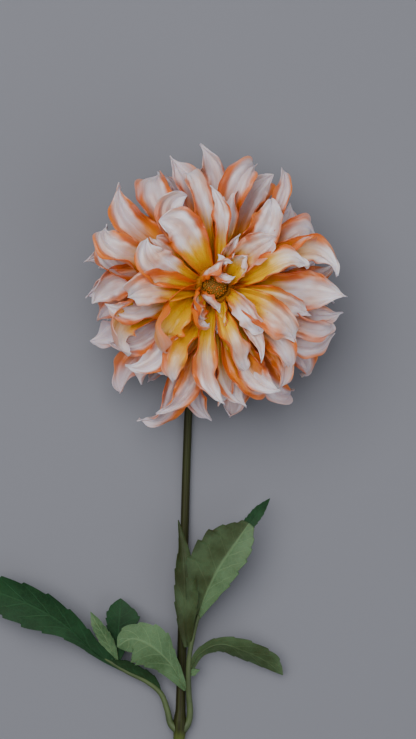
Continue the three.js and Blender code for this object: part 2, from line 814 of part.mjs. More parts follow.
function petalSolid(petal, ruffle) {
  const calm = petal.calm ?? 1;
  const wave = (t, phase) => calm * Math.sin(2 * Math.PI * (ruffle.waves * t + phase));
  const halfWidths = (t) =>
    [ruffle.left, ruffle.right].map((phase) => {
      const swell = 1 + WAVE_SWELL * wave(t, phase) * smoothstep(t, ...SWELL_COMES);
      return (petal.width / 2) * petalShape(t, petal.point ?? POINT) * swell;
    });
  const curls = (t) => {
    const opened = smoothstep(t, ...OPENING_COMES);
    const waving = WAVE_CURL * smoothstep(t, ...WAVES_COME);
    const left = lerp(CLAW_CURL, petal.left ?? MARGIN_CURL, opened) + waving * wave(t, ruffle.left);
    const right = lerp(CLAW_CURL, petal.right ?? MARGIN_CURL, opened) + waving * wave(t, ruffle.right);
    return [radians(left), radians(right)];
  };
  return outwardSolid(
    bladeGeometry({
      frames: petalFrames(petal, ruffle),
      stations: RINGS[petal.ring].stations ?? PETAL_STATIONS,
      thickness: PETAL_THICKNESS,
      halfWidths,
      curls,
      roll: (t) => radians((petal.roll ?? 0) + calm * ruffle.twist) * smoothstep(t, ...ROLL_COMES),
    }),
  );
}

// Hidden petals follow the golden angle round the head, and those over the stem's way keep above it
function hiddenPetals() {
  const draw = seededDraw(SEED);
  const petals = [];
  let azimuth = FIRST_AZIMUTH;
  for (const whorl of HIDDEN_WHORLS) {
    for (let i = 0; i < whorl.count; i += 1) {
      azimuth = (azimuth + FULL_TURN / whorl.count) % FULL_TURN;
      const petal = {
        ring: whorl.ring,
        from: azimuth,
        to: azimuth + (draw() - 0.5) * LEAN_SPREAD,
        reach: whorl.reach + (draw() - 0.5) * REACH_SPREAD,
        hook: (draw() - 0.5) * HOOK_SPREAD,
        width: whorl.width,
        roll: (draw() - 0.5) * ROLL_SPREAD,
      };
      if (Math.abs(petal.to - STEM_AZIMUTH) < STEM_WAY) {
        petal.height = OVER_STEM;
      }
      petals.push(petal);
    }
    azimuth += GOLDEN_ANGLE;
  }
  return petals;
}

// The dense middle of the head that the petals' roots are sunk in
function headCore() {
  return turnedSolid(HEAD_SIDE, HEAD_TOP, HEAD_SIDES);
}

// A solid turned about the bloom's axis from the radii and heights up its side, closed flat below and at top
function turnedSolid(side, top, sides) {
  const profile = [[0, side[0][1]], ...side, [0, top]];
  const turned = new THREE.LatheGeometry(
    profile.map(([radius, height]) => new THREE.Vector2(radius, height)),
    sides,
  );
  return outwardSolid(turned.rotateX(Math.PI / 2));
}

function cylinder(radius, bottom, top) {
  const side = [
    [radius, bottom],
    [radius, top],
  ];
  return turnedSolid(side, top, ROOM_SIDES);
}

function bloomSolid(stemRoom) {
  const draw = seededDraw(SEED + 1);
  const petals = [...SHOWN_PETALS, ...hiddenPetals()].map((petal) => petalSolid(petal, drawnRuffle(draw)));
  const discRoom = cylinder(DISC_RADIUS + CLEARANCE, DISC_BASE - CLEARANCE, DISC_TOP);
  const cupRoom = cylinder(CUP_RADIUS + CUP_ROOM, 0, HEAD_BOTTOM);
  return wholeBody(join([headCore(), ...petals]).subtract(discRoom).subtract(cupRoom).subtract(stemRoom));
}

// The disc: a low dome set all over with bud-shaped florets in a golden-angle spiral
function discSolid() {
  const dome = turnedSolid(DISC_SIDE, FLORET_HEIGHT - DOME_UNDER, DISC_SIDES);
  const florets = [];
  for (let i = 0; i < FLORETS; i += 1) {
    const share = Math.sqrt((i + 0.5) / FLORETS);
    const foot = polar(share * FLORET_RING, i * GOLDEN_ANGLE, FLORET_HEIGHT - FLORET_DROP * share * share);
    const floret = new THREE.ConeGeometry(FLORET_RADIUS, FLORET_LENGTH, FLORET_SIDES);
    florets.push(outwardSolid(floret.rotateX(Math.PI / 2).translate(foot.x, foot.y, foot.z)));
  }
  return wholeBody(join([dome, ...florets]));
}

// A smooth curve through a line of points
function smoothPath(points) {
  return new THREE.CatmullRomCurve3(
    points.map((point) => new THREE.Vector3(...point)),
    false,
    "centripetal",
  );
}

// A tapering tube through a line of points, closed at both ends
function tubeSolid(points, radiusAt, rings, sides) {
  const path = smoothPath(points);
  const positions = [];
  const faces = [];
  let side = null;
  for (let i = 0; i <= rings; i += 1) {
    const t = i / rings;
    const along = path.getTangent(t);
    side = side ?? along.clone().cross(UP).normalize();
    side = side.clone().addScaledVector(along, -side.dot(along)).normalize();
    const over = along.clone().cross(side).normalize();
    const centre = path.getPoint(t);
    for (let k = 0; k < sides; k += 1) {
      const turn = (k / sides) * Math.PI * 2;
      const vertex = centre
        .clone()
        .addScaledVector(side, radiusAt(t) * Math.cos(turn))
        .addScaledVector(over, radiusAt(t) * Math.sin(turn));
      positions.push(vertex.x, vertex.y, Math.max(vertex.z, TABLE_HEIGHT));
    }
  }
  for (let i = 0; i < rings; i += 1) {
    for (let k = 0; k < sides; k += 1) {
      const a = i * sides + k;
      const b = i * sides + ((k + 1) % sides);
      faces.push(a, b, a + sides, b, b + sides, a + sides);
    }
  }
  for (let k = 1; k < sides - 1; k += 1) {
    faces.push(0, k + 1, k);
    faces.push(rings * sides, rings * sides + k, rings * sides + k + 1);
  }
  const geometry = new THREE.BufferGeometry();
  geometry.setAttribute("position", new THREE.Float32BufferAttribute(positions, 3));
  geometry.setIndex(faces);
  return outwardSolid(geometry);
}

// The radius along the stem, read between the points of its line, with some extra all round
function stemSolid(extra) {
  const last = STEM_LINE.length - 1;
  const radiusAt = (t) => {
    const place = t * last;
    const i = Math.min(Math.floor(place), last - 1);
    return extra + lerp(STEM_LINE[i].radius, STEM_LINE[i + 1].radius, place - i);
  };
  return tubeSolid(
    STEM_LINE.map((station) => station.at),
    radiusAt,
    STEM_RINGS,
    STEM_SIDES,
  );
}

// One bract, bent from the cup outwards
function bractSolid(whorl, azimuth) {
  const root = polar(whorl.rootRadius, azimuth, whorl.rootHeight);
  const tip = polar(whorl.reach, azimuth, whorl.tipHeight);
  const arm = root.distanceTo(tip) * BRACT_ARM;
  const spine = new THREE.CubicBezierCurve3(
    root,
    root.clone().addScaledVector(direction(azimuth, whorl.rise), arm),
    tip.clone().addScaledVector(direction(azimuth, whorl.fall), -arm),
    tip,
  );
  const halfWidth = (t) => (whorl.width / 2) * Math.sqrt(1 - t * t);
  return outwardSolid(
    bladeGeometry({
      frames: spineFrames(spine, direction(azimuth - 90, 0)),
      stations: BRACT_STATIONS,
      thickness: BRACT_THICKNESS,
      halfWidths: (t) => [halfWidth(t), halfWidth(t)],
      curls: () => [radians(BRACT_CURL), radians(BRACT_CURL)],
      roll: () => 0,
    }),
  );
}

// The green cup under the head with its bracts
function calyxSolid(stemRoom) {
  const cup = turnedSolid(CUP_SIDE, CUP_TOP, CUP_SIDES);
  const bracts = BRACTS.flatMap((whorl) =>
    Array.from({ length: whorl.count }, (_, i) =>
      bractSolid(whorl, (i / whorl.count) * FULL_TURN + whorl.turn),
    ),
  );
  return wholeBody(join([cup, ...bracts]).subtract(stemRoom));
}

// One leaflet, bent along its line
function leafletSolid(leaflet) {
  const spine = smoothPath(leaflet.line);
  const rootSide = spine.getTangent(0).cross(UP).normalize();
  const fold = radians(leaflet.fold);
  const rowAt = (t) => leaflet.stations.find(([share]) => share === t);
  return outwardSolid(
    bladeGeometry({
      frames: spineFrames(spine, rootSide),
      stations: leaflet.stations.map(([share]) => share),
      thickness: LEAF_THICKNESS,
      halfWidths: (t) => rowAt(t).slice(1, 3),
      curls: () => [fold, fold],
      roll: (t) => radians(rowAt(t)[3]),
    }),
  );
}

function leafSolid(leaf, stemRoom) {
  const [thick, thin] = leaf.radii;
  const rachis = tubeSolid(leaf.rachis, (t) => lerp(thick, thin, t), RACHIS_RINGS, RACHIS_SIDES);
  return wholeBody(join([rachis, ...leaf.leaflets.map(leafletSolid)]).subtract(stemRoom));
}

function node(name, solid, color, roughness) {
  const material = new THREE.MeshStandardMaterial({ color, roughness, metalness: 0 });
  const mesh = new THREE.Mesh(geometryOf(solid), material);
  mesh.name = name;
  return mesh;
}

const stemRoom = stemSolid(CLEARANCE);
const dahlia = new THREE.Group();
dahlia.add(node("petals", bloomSolid(stemRoom), 0xead0c6, 0.55));
dahlia.add(node("disc_florets", discSolid(), 0xc8821e, 0.8));
dahlia.add(node("calyx", calyxSolid(stemRoom), 0x5c7336, 0.7));
dahlia.add(node("stem", stemSolid(0), 0x4a4a26, 0.6));
dahlia.add(node("leaf_right", leafSolid(RIGHT_LEAF, stemRoom), 0x4d6b4b, 0.6));
dahlia.add(node("leaf_left", leafSolid(LEFT_LEAF, stemRoom), 0x2f5a38, 0.6));

// The origin is under the middle of the whole flower's box, on the table
dahlia.updateMatrixWorld(true);
const middle = new THREE.Box3().setFromObject(dahlia, true).getCenter(new THREE.Vector3());
dahlia.position.set(-middle.x, -middle.y, 0);

export default dahlia;
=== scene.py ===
"""A cut dahlia lying face up, dressed from its solids: petals, disc, calyx, stem and two compound leaves.

Sizes in the classes are millimetres from the bloom's axis and the table, with +Z up, and are turned into
metres where a mesh is written. Azimuths are degrees, anticlockwise seen from above, from +X.
"""

import logging
import math
from collections.abc import Callable, Sequence
from dataclasses import dataclass, field
from enum import Enum

import bpy
import numpy as np
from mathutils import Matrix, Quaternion, Vector

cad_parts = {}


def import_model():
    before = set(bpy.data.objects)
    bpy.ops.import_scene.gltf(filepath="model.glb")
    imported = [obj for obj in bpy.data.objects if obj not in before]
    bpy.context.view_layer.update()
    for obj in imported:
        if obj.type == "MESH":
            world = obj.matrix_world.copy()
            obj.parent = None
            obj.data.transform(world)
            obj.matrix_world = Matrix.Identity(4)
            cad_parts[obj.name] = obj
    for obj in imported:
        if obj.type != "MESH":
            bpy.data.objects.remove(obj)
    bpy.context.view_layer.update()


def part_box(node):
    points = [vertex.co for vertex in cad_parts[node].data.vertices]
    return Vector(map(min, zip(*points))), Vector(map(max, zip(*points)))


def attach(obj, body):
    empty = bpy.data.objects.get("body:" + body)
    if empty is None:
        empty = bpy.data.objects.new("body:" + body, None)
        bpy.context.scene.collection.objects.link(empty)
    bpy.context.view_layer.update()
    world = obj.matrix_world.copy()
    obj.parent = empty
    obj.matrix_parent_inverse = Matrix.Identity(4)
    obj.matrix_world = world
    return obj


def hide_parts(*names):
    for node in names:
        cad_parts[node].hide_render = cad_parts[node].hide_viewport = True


log = logging.getLogger("dahlia")

MM = 0.001
BODY = "root"
UP = np.array([0.0, 0.0, 1.0])
GOLDEN_ANGLE = 137.508
SEED = 20261
SPINE_STEPS = 48
START_STEP = 1e-4
FLICK_START = 0.58
HOOK_SHARE = 0.4
LIFT_SHARE = 0.33
TIP_SHARE = 0.28
CLAW_CURL = 80.0
CLAW_WIDTH = 0.46
WIDEST = 0.57
TAPER = 2.9
PETAL_WALL = 0.45
LEAF_WALL = 0.5
BRACT_WALL = 1.0
ROUND_ANGLE = 50.0
BLADE_ANGLE = 45.0
TWIST_SPREAD = 56.0
SWAY_SPREAD = 10.0
PETAL_TINT = "petal_tint"
PETAL_RING = "petal_ring"
PETAL_GOLD = "petal_gold"
PETAL_RIM = "petal_rim"
FLORET_OPEN = "floret_open"
LEAF_SHADE = "leaf_shade"
LEAF_HALF_SHADE = "leaf_half_shade"
NUMBER_SOCKET = "NodeSocketFloat"
VECTOR_SOCKET = "NodeSocketVector"

Curls = tuple[np.ndarray, np.ndarray]
Point = tuple[float, float, float]
Colour = tuple[float, float, float, float]
Range = tuple[float, float]
Socket = bpy.types.NodeSocket
Value = float | Colour | Socket


def smoothstep(x: np.ndarray, low: float, high: float) -> np.ndarray:
    """A smooth rise from 0 at low to 1 at high."""
    share = np.clip((x - low) / (high - low), 0.0, 1.0)
    return share * share * (3.0 - 2.0 * share)


def mix(a: float, b: float, share: np.ndarray) -> np.ndarray:
    """The value that lies at a share of the way from a to b."""
    return a + (b - a) * share


def unit(vectors: np.ndarray) -> np.ndarray:
    """The same directions with length 1."""
    return vectors / np.linalg.norm(vectors, axis=-1, keepdims=True)


def direction(azimuth: float, elevation: float = 0.0) -> np.ndarray:
    """The unit vector at an azimuth, lifted by an elevation, both in degrees."""
    a, e = math.radians(azimuth), math.radians(elevation)
    return np.array([math.cos(e) * math.cos(a), math.cos(e) * math.sin(a), math.sin(e)])


def polar(radius: float, azimuth: float, height: float) -> np.ndarray:
    """The point at a radius and azimuth from the bloom's axis, at a height."""
    return direction(azimuth) * radius + UP * height


def seeded_draw(seed: int) -> Callable[[], float]:
    """A repeatable draw between 0 and 1.

    Args:
        seed: whole number that starts the series.

    Returns:
        A function that gives the next number each time.
    """
    state = seed

    def draw() -> float:
        """Takes the next number of the series.

        Returns:
            The number.
        """
        nonlocal state
        state = (state * 1664525 + 1013904223) & 0xFFFFFFFF
        return state / 4294967296

    return draw


def spread(draw: Callable[[], float], width: float) -> float:
    """The next draw, made a value to either side of 0 within a width."""
    return (draw() - 0.5) * width


def bezier(points: Sequence[np.ndarray]) -> Callable[[np.ndarray], np.ndarray]:
    """A smooth curve drawn towards each point in turn, reaching only the first and the last.

    Args:
        points: the points, in order.

    Returns:
        A function from shares along the curve to points on it.
    """
    degree = len(points) - 1
    stack = np.array(points, float)

    def at(t: np.ndarray) -> np.ndarray:
        """Reads the curve.

        Args:
            t: shares along it.

        Returns:
            The points there.
        """
        t = np.atleast_1d(t)[:, None]
        weights = [math.comb(degree, k) * t**k * (1 - t) ** (degree - k) for k in range(degree + 1)]
        return sum(w * p for w, p in zip(weights, stack))

    return at


def flowing(x: np.ndarray, places: np.ndarray, values: np.ndarray) -> np.ndarray:
    """Reads a table smoothly, without overshooting between its rows.

    Args:
        x: where to read.
        places: the rows' places, rising.
        values: the rows' values.

    Returns:
        The values at x.
    """
    steps = np.diff(places)
    slopes = np.diff(values) / steps
    before, after = slopes[:-1], slopes[1:]
    inner = np.where(before * after > 0, 2 * before * after / (before + after + 1e-12), 0)
    ends = np.concatenate([slopes[:1], inner, slopes[-1:]])
    i = np.clip(np.searchsorted(places, x, side="right") - 1, 0, len(steps) - 1)
    u = (x - places[i]) / steps[i]
    rise = values[i] * (1 + 2 * u) * (1 - u) ** 2 + values[i + 1] * u * u * (3 - 2 * u)
    return rise + steps[i] * (ends[i] * u * (1 - u) ** 2 + ends[i + 1] * u * u * (u - 1))


def spline(points: Sequence[Sequence[float]]) -> Callable[[np.ndarray], np.ndarray]:
    """A centripetal curve through every point.

    Args:
        points: the points, in order.

    Returns:
        A function from shares along the points to points on the curve.
    """
    p = np.array(points, float)
    p = np.vstack([2 * p[0] - p[1], p, 2 * p[-1] - p[-2]])

    def at(t: np.ndarray) -> np.ndarray:
        """Reads the curve.

        Args:
            t: shares along it.

        Returns:
            The points there.
        """
        place = np.atleast_1d(t) * (len(points) - 1)
        i = np.minimum(place.astype(int), len(points) - 2)
        w = (place - i)[:, None]
        p0, p1, p2, p3 = p[i], p[i + 1], p[i + 2], p[i + 3]
        steps = (p1 - p0, p2 - p1, p3 - p2)
        d0, d1, d2 = (np.sqrt(np.linalg.norm(step, axis=1))[:, None] for step in steps)
        m1 = ((p1 - p0) / d0 - (p2 - p0) / (d0 + d1) + (p2 - p1) / d1) * d1
        m2 = ((p2 - p1) / d1 - (p3 - p1) / (d1 + d2) + (p3 - p2) / d2) * d1
        c2 = -3 * p1 + 3 * p2 - 2 * m1 - m2
        c3 = 2 * p1 - 2 * p2 + m1 + m2
        return p1 + m1 * w + c2 * w**2 + c3 * w**3

    return at


def side_at_start(line: Callable[[np.ndarray], np.ndarray]) -> np.ndarray:
    """The level direction across a curve at its start."""
    start = unit(line(np.array([START_STEP]))[0] - line(np.array([0.0]))[0])
    return unit(np.cross(start, UP))


@dataclass
class Spine:
    """A curve with a side and a face direction carried along it without twisting.

    Args:
        curve: function from shares to points.
        root_side: direction across the blade at the root.
        flick: how far the end of the blade turns in its own plane, in degrees, anticlockwise on its face.
        kick: how far the end of the blade turns up towards its face, in degrees.
        steps: steps that the directions are carried in.
    """

    curve: Callable[[np.ndarray], np.ndarray]
    root_side: np.ndarray
    flick: float = 0.0
    kick: float = 0.0
    steps: int = SPINE_STEPS
    points: np.ndarray = field(init=False)
    sides: np.ndarray = field(init=False)
    faces: np.ndarray = field(init=False)

    def __post_init__(self) -> None:
        """Walks along the curve and keeps the directions at every step."""
        t = np.linspace(0.0, 1.0, self.steps + 1)
        near, far = np.clip(t - START_STEP, 0, 1), np.clip(t + START_STEP, 0, 1)
        along = unit(self.curve(far) - self.curve(near))
        side, sides = self.root_side, []
        for tangent in along:
            side = unit(side - tangent * np.dot(side, tangent))
            sides.append(side)
        self.points = self.curve(t)
        self.sides = np.array(sides)
        self.faces = unit(np.cross(self.sides, along))
        self.bend_tip(t)

    def bend_tip(self, t: np.ndarray) -> None:
        """Turns what lies beyond each step a little further, so that the end of the blade curls.

        Args:
            t: shares of the steps.
        """
        moved = self.points.copy()
        turn = Quaternion()
        share = smoothstep(t, FLICK_START, 1.0)
        for i in range(1, len(t)):
            step = share[i] - share[i - 1]
            turn = turn @ Quaternion(self.faces[i], math.radians(self.flick) * step)
            turn = turn @ Quaternion(self.sides[i], math.radians(self.kick) * step)
            moved[i] = moved[i - 1] + np.array(turn @ Vector(self.points[i] - self.points[i - 1]))
            self.sides[i] = turn @ Vector(self.sides[i])
            self.faces[i] = turn @ Vector(self.faces[i])
        self.points = moved

    def at(self, t: np.ndarray) -> tuple[np.ndarray, np.ndarray, np.ndarray]:
        """The points, side directions and face directions at shares along the curve.

        Args:
            t: shares, 0 at the root and 1 at the tip.

        Returns:
            Points, sides and faces, one row for each share.
        """
        place = t * self.steps
        i = np.minimum(place.astype(int), self.steps - 1)
        w = (place - i)[:, None]
        sides = self.sides[i] * (1 - w) + self.sides[i + 1] * w
        faces = self.faces[i] * (1 - w) + self.faces[i + 1] * w
        points = self.points[i] * (1 - w) + self.points[i + 1] * w
        return points, unit(sides), unit(faces)


def bend_blade(
    spine: Spine,
    s: np.ndarray,
    t: np.ndarray,
    half_width: np.ndarray,
    curls: Curls,
    roll: np.ndarray,
    lift: np.ndarray,
) -> np.ndarray:
    """Lays a flat blade along a spine, curls its margins towards its face and turns it about its length.

    Args:
        spine: the curve it lies on.
        s: place across, -1 at the left margin and 1 at the right one.
        t: place along, 0 at the root and 1 at the tip.
        half_width: half the blade's width at each vertex, in millimetres.
        curls: how far the left and the right margin curl up, in radians.
        roll: turn about the spine, in radians.
        lift: extra height out of the face, in millimetres.

    Returns:
        The vertices' places, in millimetres.
    """
    points, sides, faces = spine.at(t)
    cos, sin = np.cos(roll)[:, None], np.sin(roll)[:, None]
    across = sides * cos + faces * sin
    out = faces * cos - sides * sin
    bend = np.where(s < 0, curls[0], curls[1])
    bend = np.where(np.abs(bend) < 1e-3, 1e-3, bend)
    arc = bend * np.abs(s)
    sideways = np.sign(s) * half_width * np.sin(arc) / bend
    upwards = half_width * (1 - np.cos(arc)) / bend + lift
    return points + across * sideways[:, None] + out * upwards[:, None]


class Workshop:
    """The moves that every piece is made with."""

    @staticmethod
    def clear_selection() -> None:
        """Leaves nothing selected."""
        bpy.ops.object.select_all(action="DESELECT")

    @classmethod
    def only(cls, piece: bpy.types.Object) -> None:
        """Selects one object and makes it active.

        Args:
            piece: the object.
        """
        cls.clear_selection()
        piece.select_set(True)
        bpy.context.view_layer.objects.active = piece

    @classmethod
    def blank(cls, name: str, columns: int, rows: int) -> bpy.types.Object:
        """A flat sheet of faces, one unit each way, with a UV map: u runs across it and v along it.

        Args:
            name: the sheet's name.
            columns: faces across it.
            rows: faces along it.

        Returns:
            The sheet.
        """
        cls.clear_selection()
        bpy.ops.mesh.primitive_grid_add(x_subdivisions=columns, y_subdivisions=rows, size=1, calc_uvs=True)
        sheet = bpy.context.active_object
        sheet.name = name
        return sheet

    @staticmethod
    def places(sheet: bpy.types.Object) -> tuple[np.ndarray, np.ndarray]:
        """Where each vertex of a blank lies.

        Args:
            sheet: the blank.

        Returns:
            Places across, from -1 to 1, and along, from 0 to 1.
        """
        co = np.zeros(len(sheet.data.vertices) * 3, np.float32)
        sheet.data.vertices.foreach_get("co", co)
        co = co.reshape(-1, 3).astype(float)
        return np.clip(co[:, 0] * 2, -1, 1), np.clip(co[:, 1] + 0.5, 0, 1)

    @staticmethod
    def copy(piece: bpy.types.Object, name: str) -> bpy.types.Object:
        """Another object with a mesh of its own.

        Args:
            piece: the object to copy.
            name: the copy's name.

        Returns:
            The copy.
        """
        twin = piece.copy()
        twin.data = piece.data.copy()
        twin.name = name
        bpy.context.scene.collection.objects.link(twin)
        return twin

    @staticmethod
    def place(piece: bpy.types.Object, points: np.ndarray) -> None:
        """Moves a piece's vertices to places given in millimetres in the row frame."""
        piece.data.vertices.foreach_set("co", (points * MM).astype(np.float32).ravel())
        piece.data.update()

    @staticmethod
    def mark(piece: bpy.types.Object, attribute: str, value: float) -> None:
        """Writes one number on every vertex of a piece, for its material to read."""
        layer = piece.data.attributes.new(attribute, "FLOAT", "POINT")
        layer.data.foreach_set("value", np.full(len(piece.data.vertices), value, np.float32))

    @classmethod
    def join(cls, pieces: Sequence[bpy.types.Object], name: str) -> bpy.types.Object:
        """One object out of several.

        Args:
            pieces: the objects.
            name: the name of the one they become.

        Returns:
            The joined object.
        """
        cls.clear_selection()
        for piece in pieces:
            piece.select_set(True)
        bpy.context.view_layer.objects.active = pieces[0]
        if len(pieces) > 1:
            bpy.ops.object.join()
        joined = bpy.context.active_object
        joined.name = name
        joined.data.name = name
        return joined

    @classmethod
    def weld(cls, piece: bpy.types.Object, gap: float = 2e-6, close: bool = False) -> None:
        """Merges vertices that meet.

        Args:
            piece: the piece.
            gap: how near they have to be, in metres.
            close: whether open ends are closed and all faces turned outwards as well.
        """
        cls.only(piece)
        bpy.ops.object.mode_set(mode="EDIT")
        bpy.ops.mesh.select_all(action="SELECT")
        bpy.ops.mesh.remove_doubles(threshold=gap)
        if close:
            bpy.ops.mesh.fill_holes(sides=0)
            bpy.ops.mesh.select_all(action="SELECT")
            bpy.ops.mesh.normals_make_consistent(inside=False)
        bpy.ops.object.mode_set(mode="OBJECT")

    @classmethod
    def thicken(cls, piece: bpy.types.Object, wall: float) -> None:
        """Gives a sheet a wall, so that it is a closed shell; its back takes the next material.

        Args:
            piece: the sheet.
            wall: how thick the wall is, in millimetres.
        """
        cls.only(piece)
        shell = piece.modifiers.new("wall", "SOLIDIFY")
        shell.thickness = wall * MM
        shell.offset = 0.0
        shell.use_even_offset = False
        shell.material_offset = 1
        bpy.ops.object.modifier_apply(modifier=shell.name)

    @classmethod
    def smooth(cls, piece: bpy.types.Object, angle: float = 60.0) -> None:
        """Shades a piece smooth, apart from edges sharper than an angle in degrees."""
        cls.only(piece)
        bpy.ops.object.shade_smooth_by_angle(angle=math.radians(angle))

    @classmethod
    def dress(cls, piece: bpy.types.Object, *materials: bpy.types.Material) -> None:
        """Gives a piece its materials, the face's first and then the back's."""
        for material in materials:
            piece.data.materials.append(material)

    @classmethod
    def shell(
        cls,
        sheets: Sequence[bpy.types.Object],
        name: str,
        sides: Sequence[bpy.types.Material],
        wall: float,
        angle: float = 60.0,
    ) -> bpy.types.Object:
        """Joins bent sheets into one piece with a wall.

        Args:
            sheets: the sheets.
            name: the piece's name.
            sides: materials of their faces and of their backs.
            wall: how thick the wall is, in millimetres.
            angle: edges sharper than this aren't shaded smooth.

        Returns:
            The piece.
        """
        piece = cls.join(sheets, name)
        cls.weld(piece)
        cls.dress(piece, *sides)
        cls.thicken(piece, wall)
        cls.smooth(piece, angle)
        return piece

    @classmethod
    def settle(cls, piece: bpy.types.Object, slot: str, *nodes: str) -> None:
        """Has a finished piece ride on the flower and hides the solids that it stands for.

        Args:
            piece: the piece.
            slot: the record's material slot that it shows; not used.
            nodes: names of the solids.
        """
        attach(piece, BODY)
        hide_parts(*nodes)
        log.info("%s: %d faces", piece.name, len(piece.data.polygons))

    @classmethod
    def tube(
        cls,
        name: str,
        points: Sequence[Sequence[float]],
        radii: Callable[[np.ndarray], np.ndarray],
        sides: int,
        rings: int,
        material: bpy.types.Material,
    ) -> bpy.types.Object:
        """A tapering closed tube through a line of points, shaded smooth and with its material.

        Args:
            name: the piece's name.
            points: centre line in millimetres in the row frame.
            radii: function from shares along the line to radii.
            sides: faces round it.
            rings: faces along it.
            material: its material.

        Returns:
            The tube.
        """
        line = spline(points)
        spine = Spine(line, side_at_start(line), steps=rings)
        piece = cls.blank(name, sides, rings)
        s, t = cls.places(piece)
        centres, across, faces = spine.at(t)
        turn = (s + 1) * math.pi
        r = radii(t)[:, None]
        places = centres + across * r * np.cos(turn)[:, None] + faces * r * np.sin(turn)[:, None]
        places[:, 2] = np.maximum(places[:, 2], 0.0)
        cls.place(piece, places)
        cls.weld(piece, close=True)
        cls.smooth(piece, ROUND_ANGLE)
        cls.dress(piece, material)
        return piece


class Painter:
    """Builds a material's nodes: it adds them, sets their inputs and joins them up."""

    def __init__(self, tree: bpy.types.NodeTree) -> None:
        """Starts on an empty tree."""
        self.tree = tree
        tree.nodes.clear()

    @classmethod
    def material(cls, name: str) -> tuple["Painter", bpy.types.Material]:
        """Starts a new material.

        Args:
            name: the material's name.

        Returns:
            A painter and the material that it paints.
        """
        made = bpy.data.materials.new(name)
        made.use_nodes = True
        return cls(made.node_tree), made

    @classmethod
    def group(
        cls, name: str, inputs: Sequence[tuple[str, str, float]], outputs: Sequence[tuple[str, str]]
    ) -> "Painter":
        """Starts a new node group.

        Args:
            name: the group's name.
            inputs: name, kind and value of each input.
            outputs: name and kind of each output.

        Returns:
            A painter on the group.
        """
        tree = bpy.data.node_groups.new(name, "ShaderNodeTree")
        painter = cls(tree)
        for label, kind, value in inputs:
            socket = tree.interface.new_socket(label, in_out="INPUT", socket_type=kind)
            if kind == NUMBER_SOCKET:
                socket.default_value = value
        for label, kind in outputs:
            tree.interface.new_socket(label, in_out="OUTPUT", socket_type=kind)
        return painter

    def add(self, kind: str, settings: dict | None = None, **inputs: object) -> bpy.types.Node:
        """Adds a node.

        Args:
            kind: the node's type.
            settings: properties of the node itself.
            inputs: values or output sockets for its inputs, by name with _ for a space, or by i and number.

        Returns:
            The node.
        """
        node = self.tree.nodes.new(kind)
        for key, value in (settings or {}).items():
            setattr(node, key, value)
        for key, value in inputs.items():
            numbered = key[0] == "i" and key[1:].isdigit()
            socket = node.inputs[int(key[1:])] if numbered else node.inputs[key.replace("_", " ")]
            if isinstance(value, Socket):
                self.tree.links.new(value, socket)
            else:
                socket.default_value = value
        return node

    def reckon(self, operation: str, a: Value, b: Value = 0.0, clamp: bool = False) -> Socket:
        """The result of arithmetic on two values."""
        settings = {"operation": operation, "use_clamp": clamp}
        return self.add("ShaderNodeMath", settings, i0=a, i1=b).outputs[0]

    def plus(self, a: Value, b: Value, clamp: bool = False) -> Socket:
        """The sum of two values."""
        return self.reckon("ADD", a, b, clamp)

    def minus(self, a: Value, b: Value) -> Socket:
        """One value less another."""
        return self.reckon("SUBTRACT", a, b)

    def times(self, a: Value, b: Value, clamp: bool = False) -> Socket:
        """The product of two values."""
        return self.reckon("MULTIPLY", a, b, clamp)

    def rest(self, a: Value) -> Socket:
        """What a value leaves of 1."""
        return self.minus(1.0, a)

    def size(self, a: Value) -> Socket:
        """A value without its sign."""
        return self.reckon("ABSOLUTE", a)

    def swing(self, a: Value, spread: float) -> Socket:
        """A value between 0 and 1 made a swing to either side of 0."""
        return self.times(self.minus(a, 0.5), spread)

    def rise(self, value: Value, low: Value, high: Value) -> Socket:
        """A smooth rise from 0 at low to 1 at high."""
        inputs = {"i0": value, "i1": low, "i2": high, "i3": 0.0, "i4": 1.0}
        return self.add("ShaderNodeMapRange", {"interpolation_type": "SMOOTHSTEP"}, **inputs).outputs[0]

    def fall(self, value: Value, low: Value, high: Value) -> Socket:
        """A smooth fall from 1 at low to 0 at high."""
        return self.rest(self.rise(value, low, high))

    def blend(self, share: Value, a: Value, b: Value) -> Socket:
        """A colour at a share of the way from one to another."""
        node = self.add("ShaderNodeMix", {"data_type": "RGBA"}, i0=share, i6=a, i7=b)
        return node.outputs[2]

    def noise(self, vector: Value, scale: float, detail: float = 2.0, rough: float = 0.5) -> Socket:
        """A soft random pattern between 0 and 1."""
        inputs = {"Vector": vector, "Scale": scale, "Detail": detail, "Roughness": rough}
        return self.add("ShaderNodeTexNoise", {"noise_dimensions": "3D"}, **inputs).outputs["Fac"]

    def mark(self, attribute: str) -> Socket:
        """A number that the piece carries on its vertices."""
        return self.add("ShaderNodeAttribute", {"attribute_name": attribute}).outputs["Fac"]

    def map(self) -> Socket:
        """The piece's own UV map."""
        return self.add("ShaderNodeUVMap", {"uv_map": "UVMap"}).outputs[0]

    def place(self) -> Socket:
        """The place in the object, in metres."""
        return self.add("ShaderNodeTexCoord").outputs["Object"]

    def parts(self, vector: Value) -> Sequence[Socket]:
        """A vector's three numbers."""
        return self.add("ShaderNodeSeparateXYZ", Vector=vector).outputs

    def vector(self, x: Value, y: Value, z: Value) -> Socket:
        """A vector out of three numbers."""
        return self.add("ShaderNodeCombineXYZ", X=x, Y=y, Z=z).outputs[0]

    def bump(self, height: Value, strength: float, distance: float) -> Socket:
        """The surface's direction, tilted as a fine relief tilts it."""
        return self.add("ShaderNodeBump", Strength=strength, Distance=distance, Height=height).outputs[0]

    def finish(self, **inputs: object) -> None:
        """Joins a surface with the given inputs to the material's output."""
        surface = self.add("ShaderNodeBsdfPrincipled", **inputs)
        self.add("ShaderNodeOutputMaterial", Surface=surface.outputs[0])


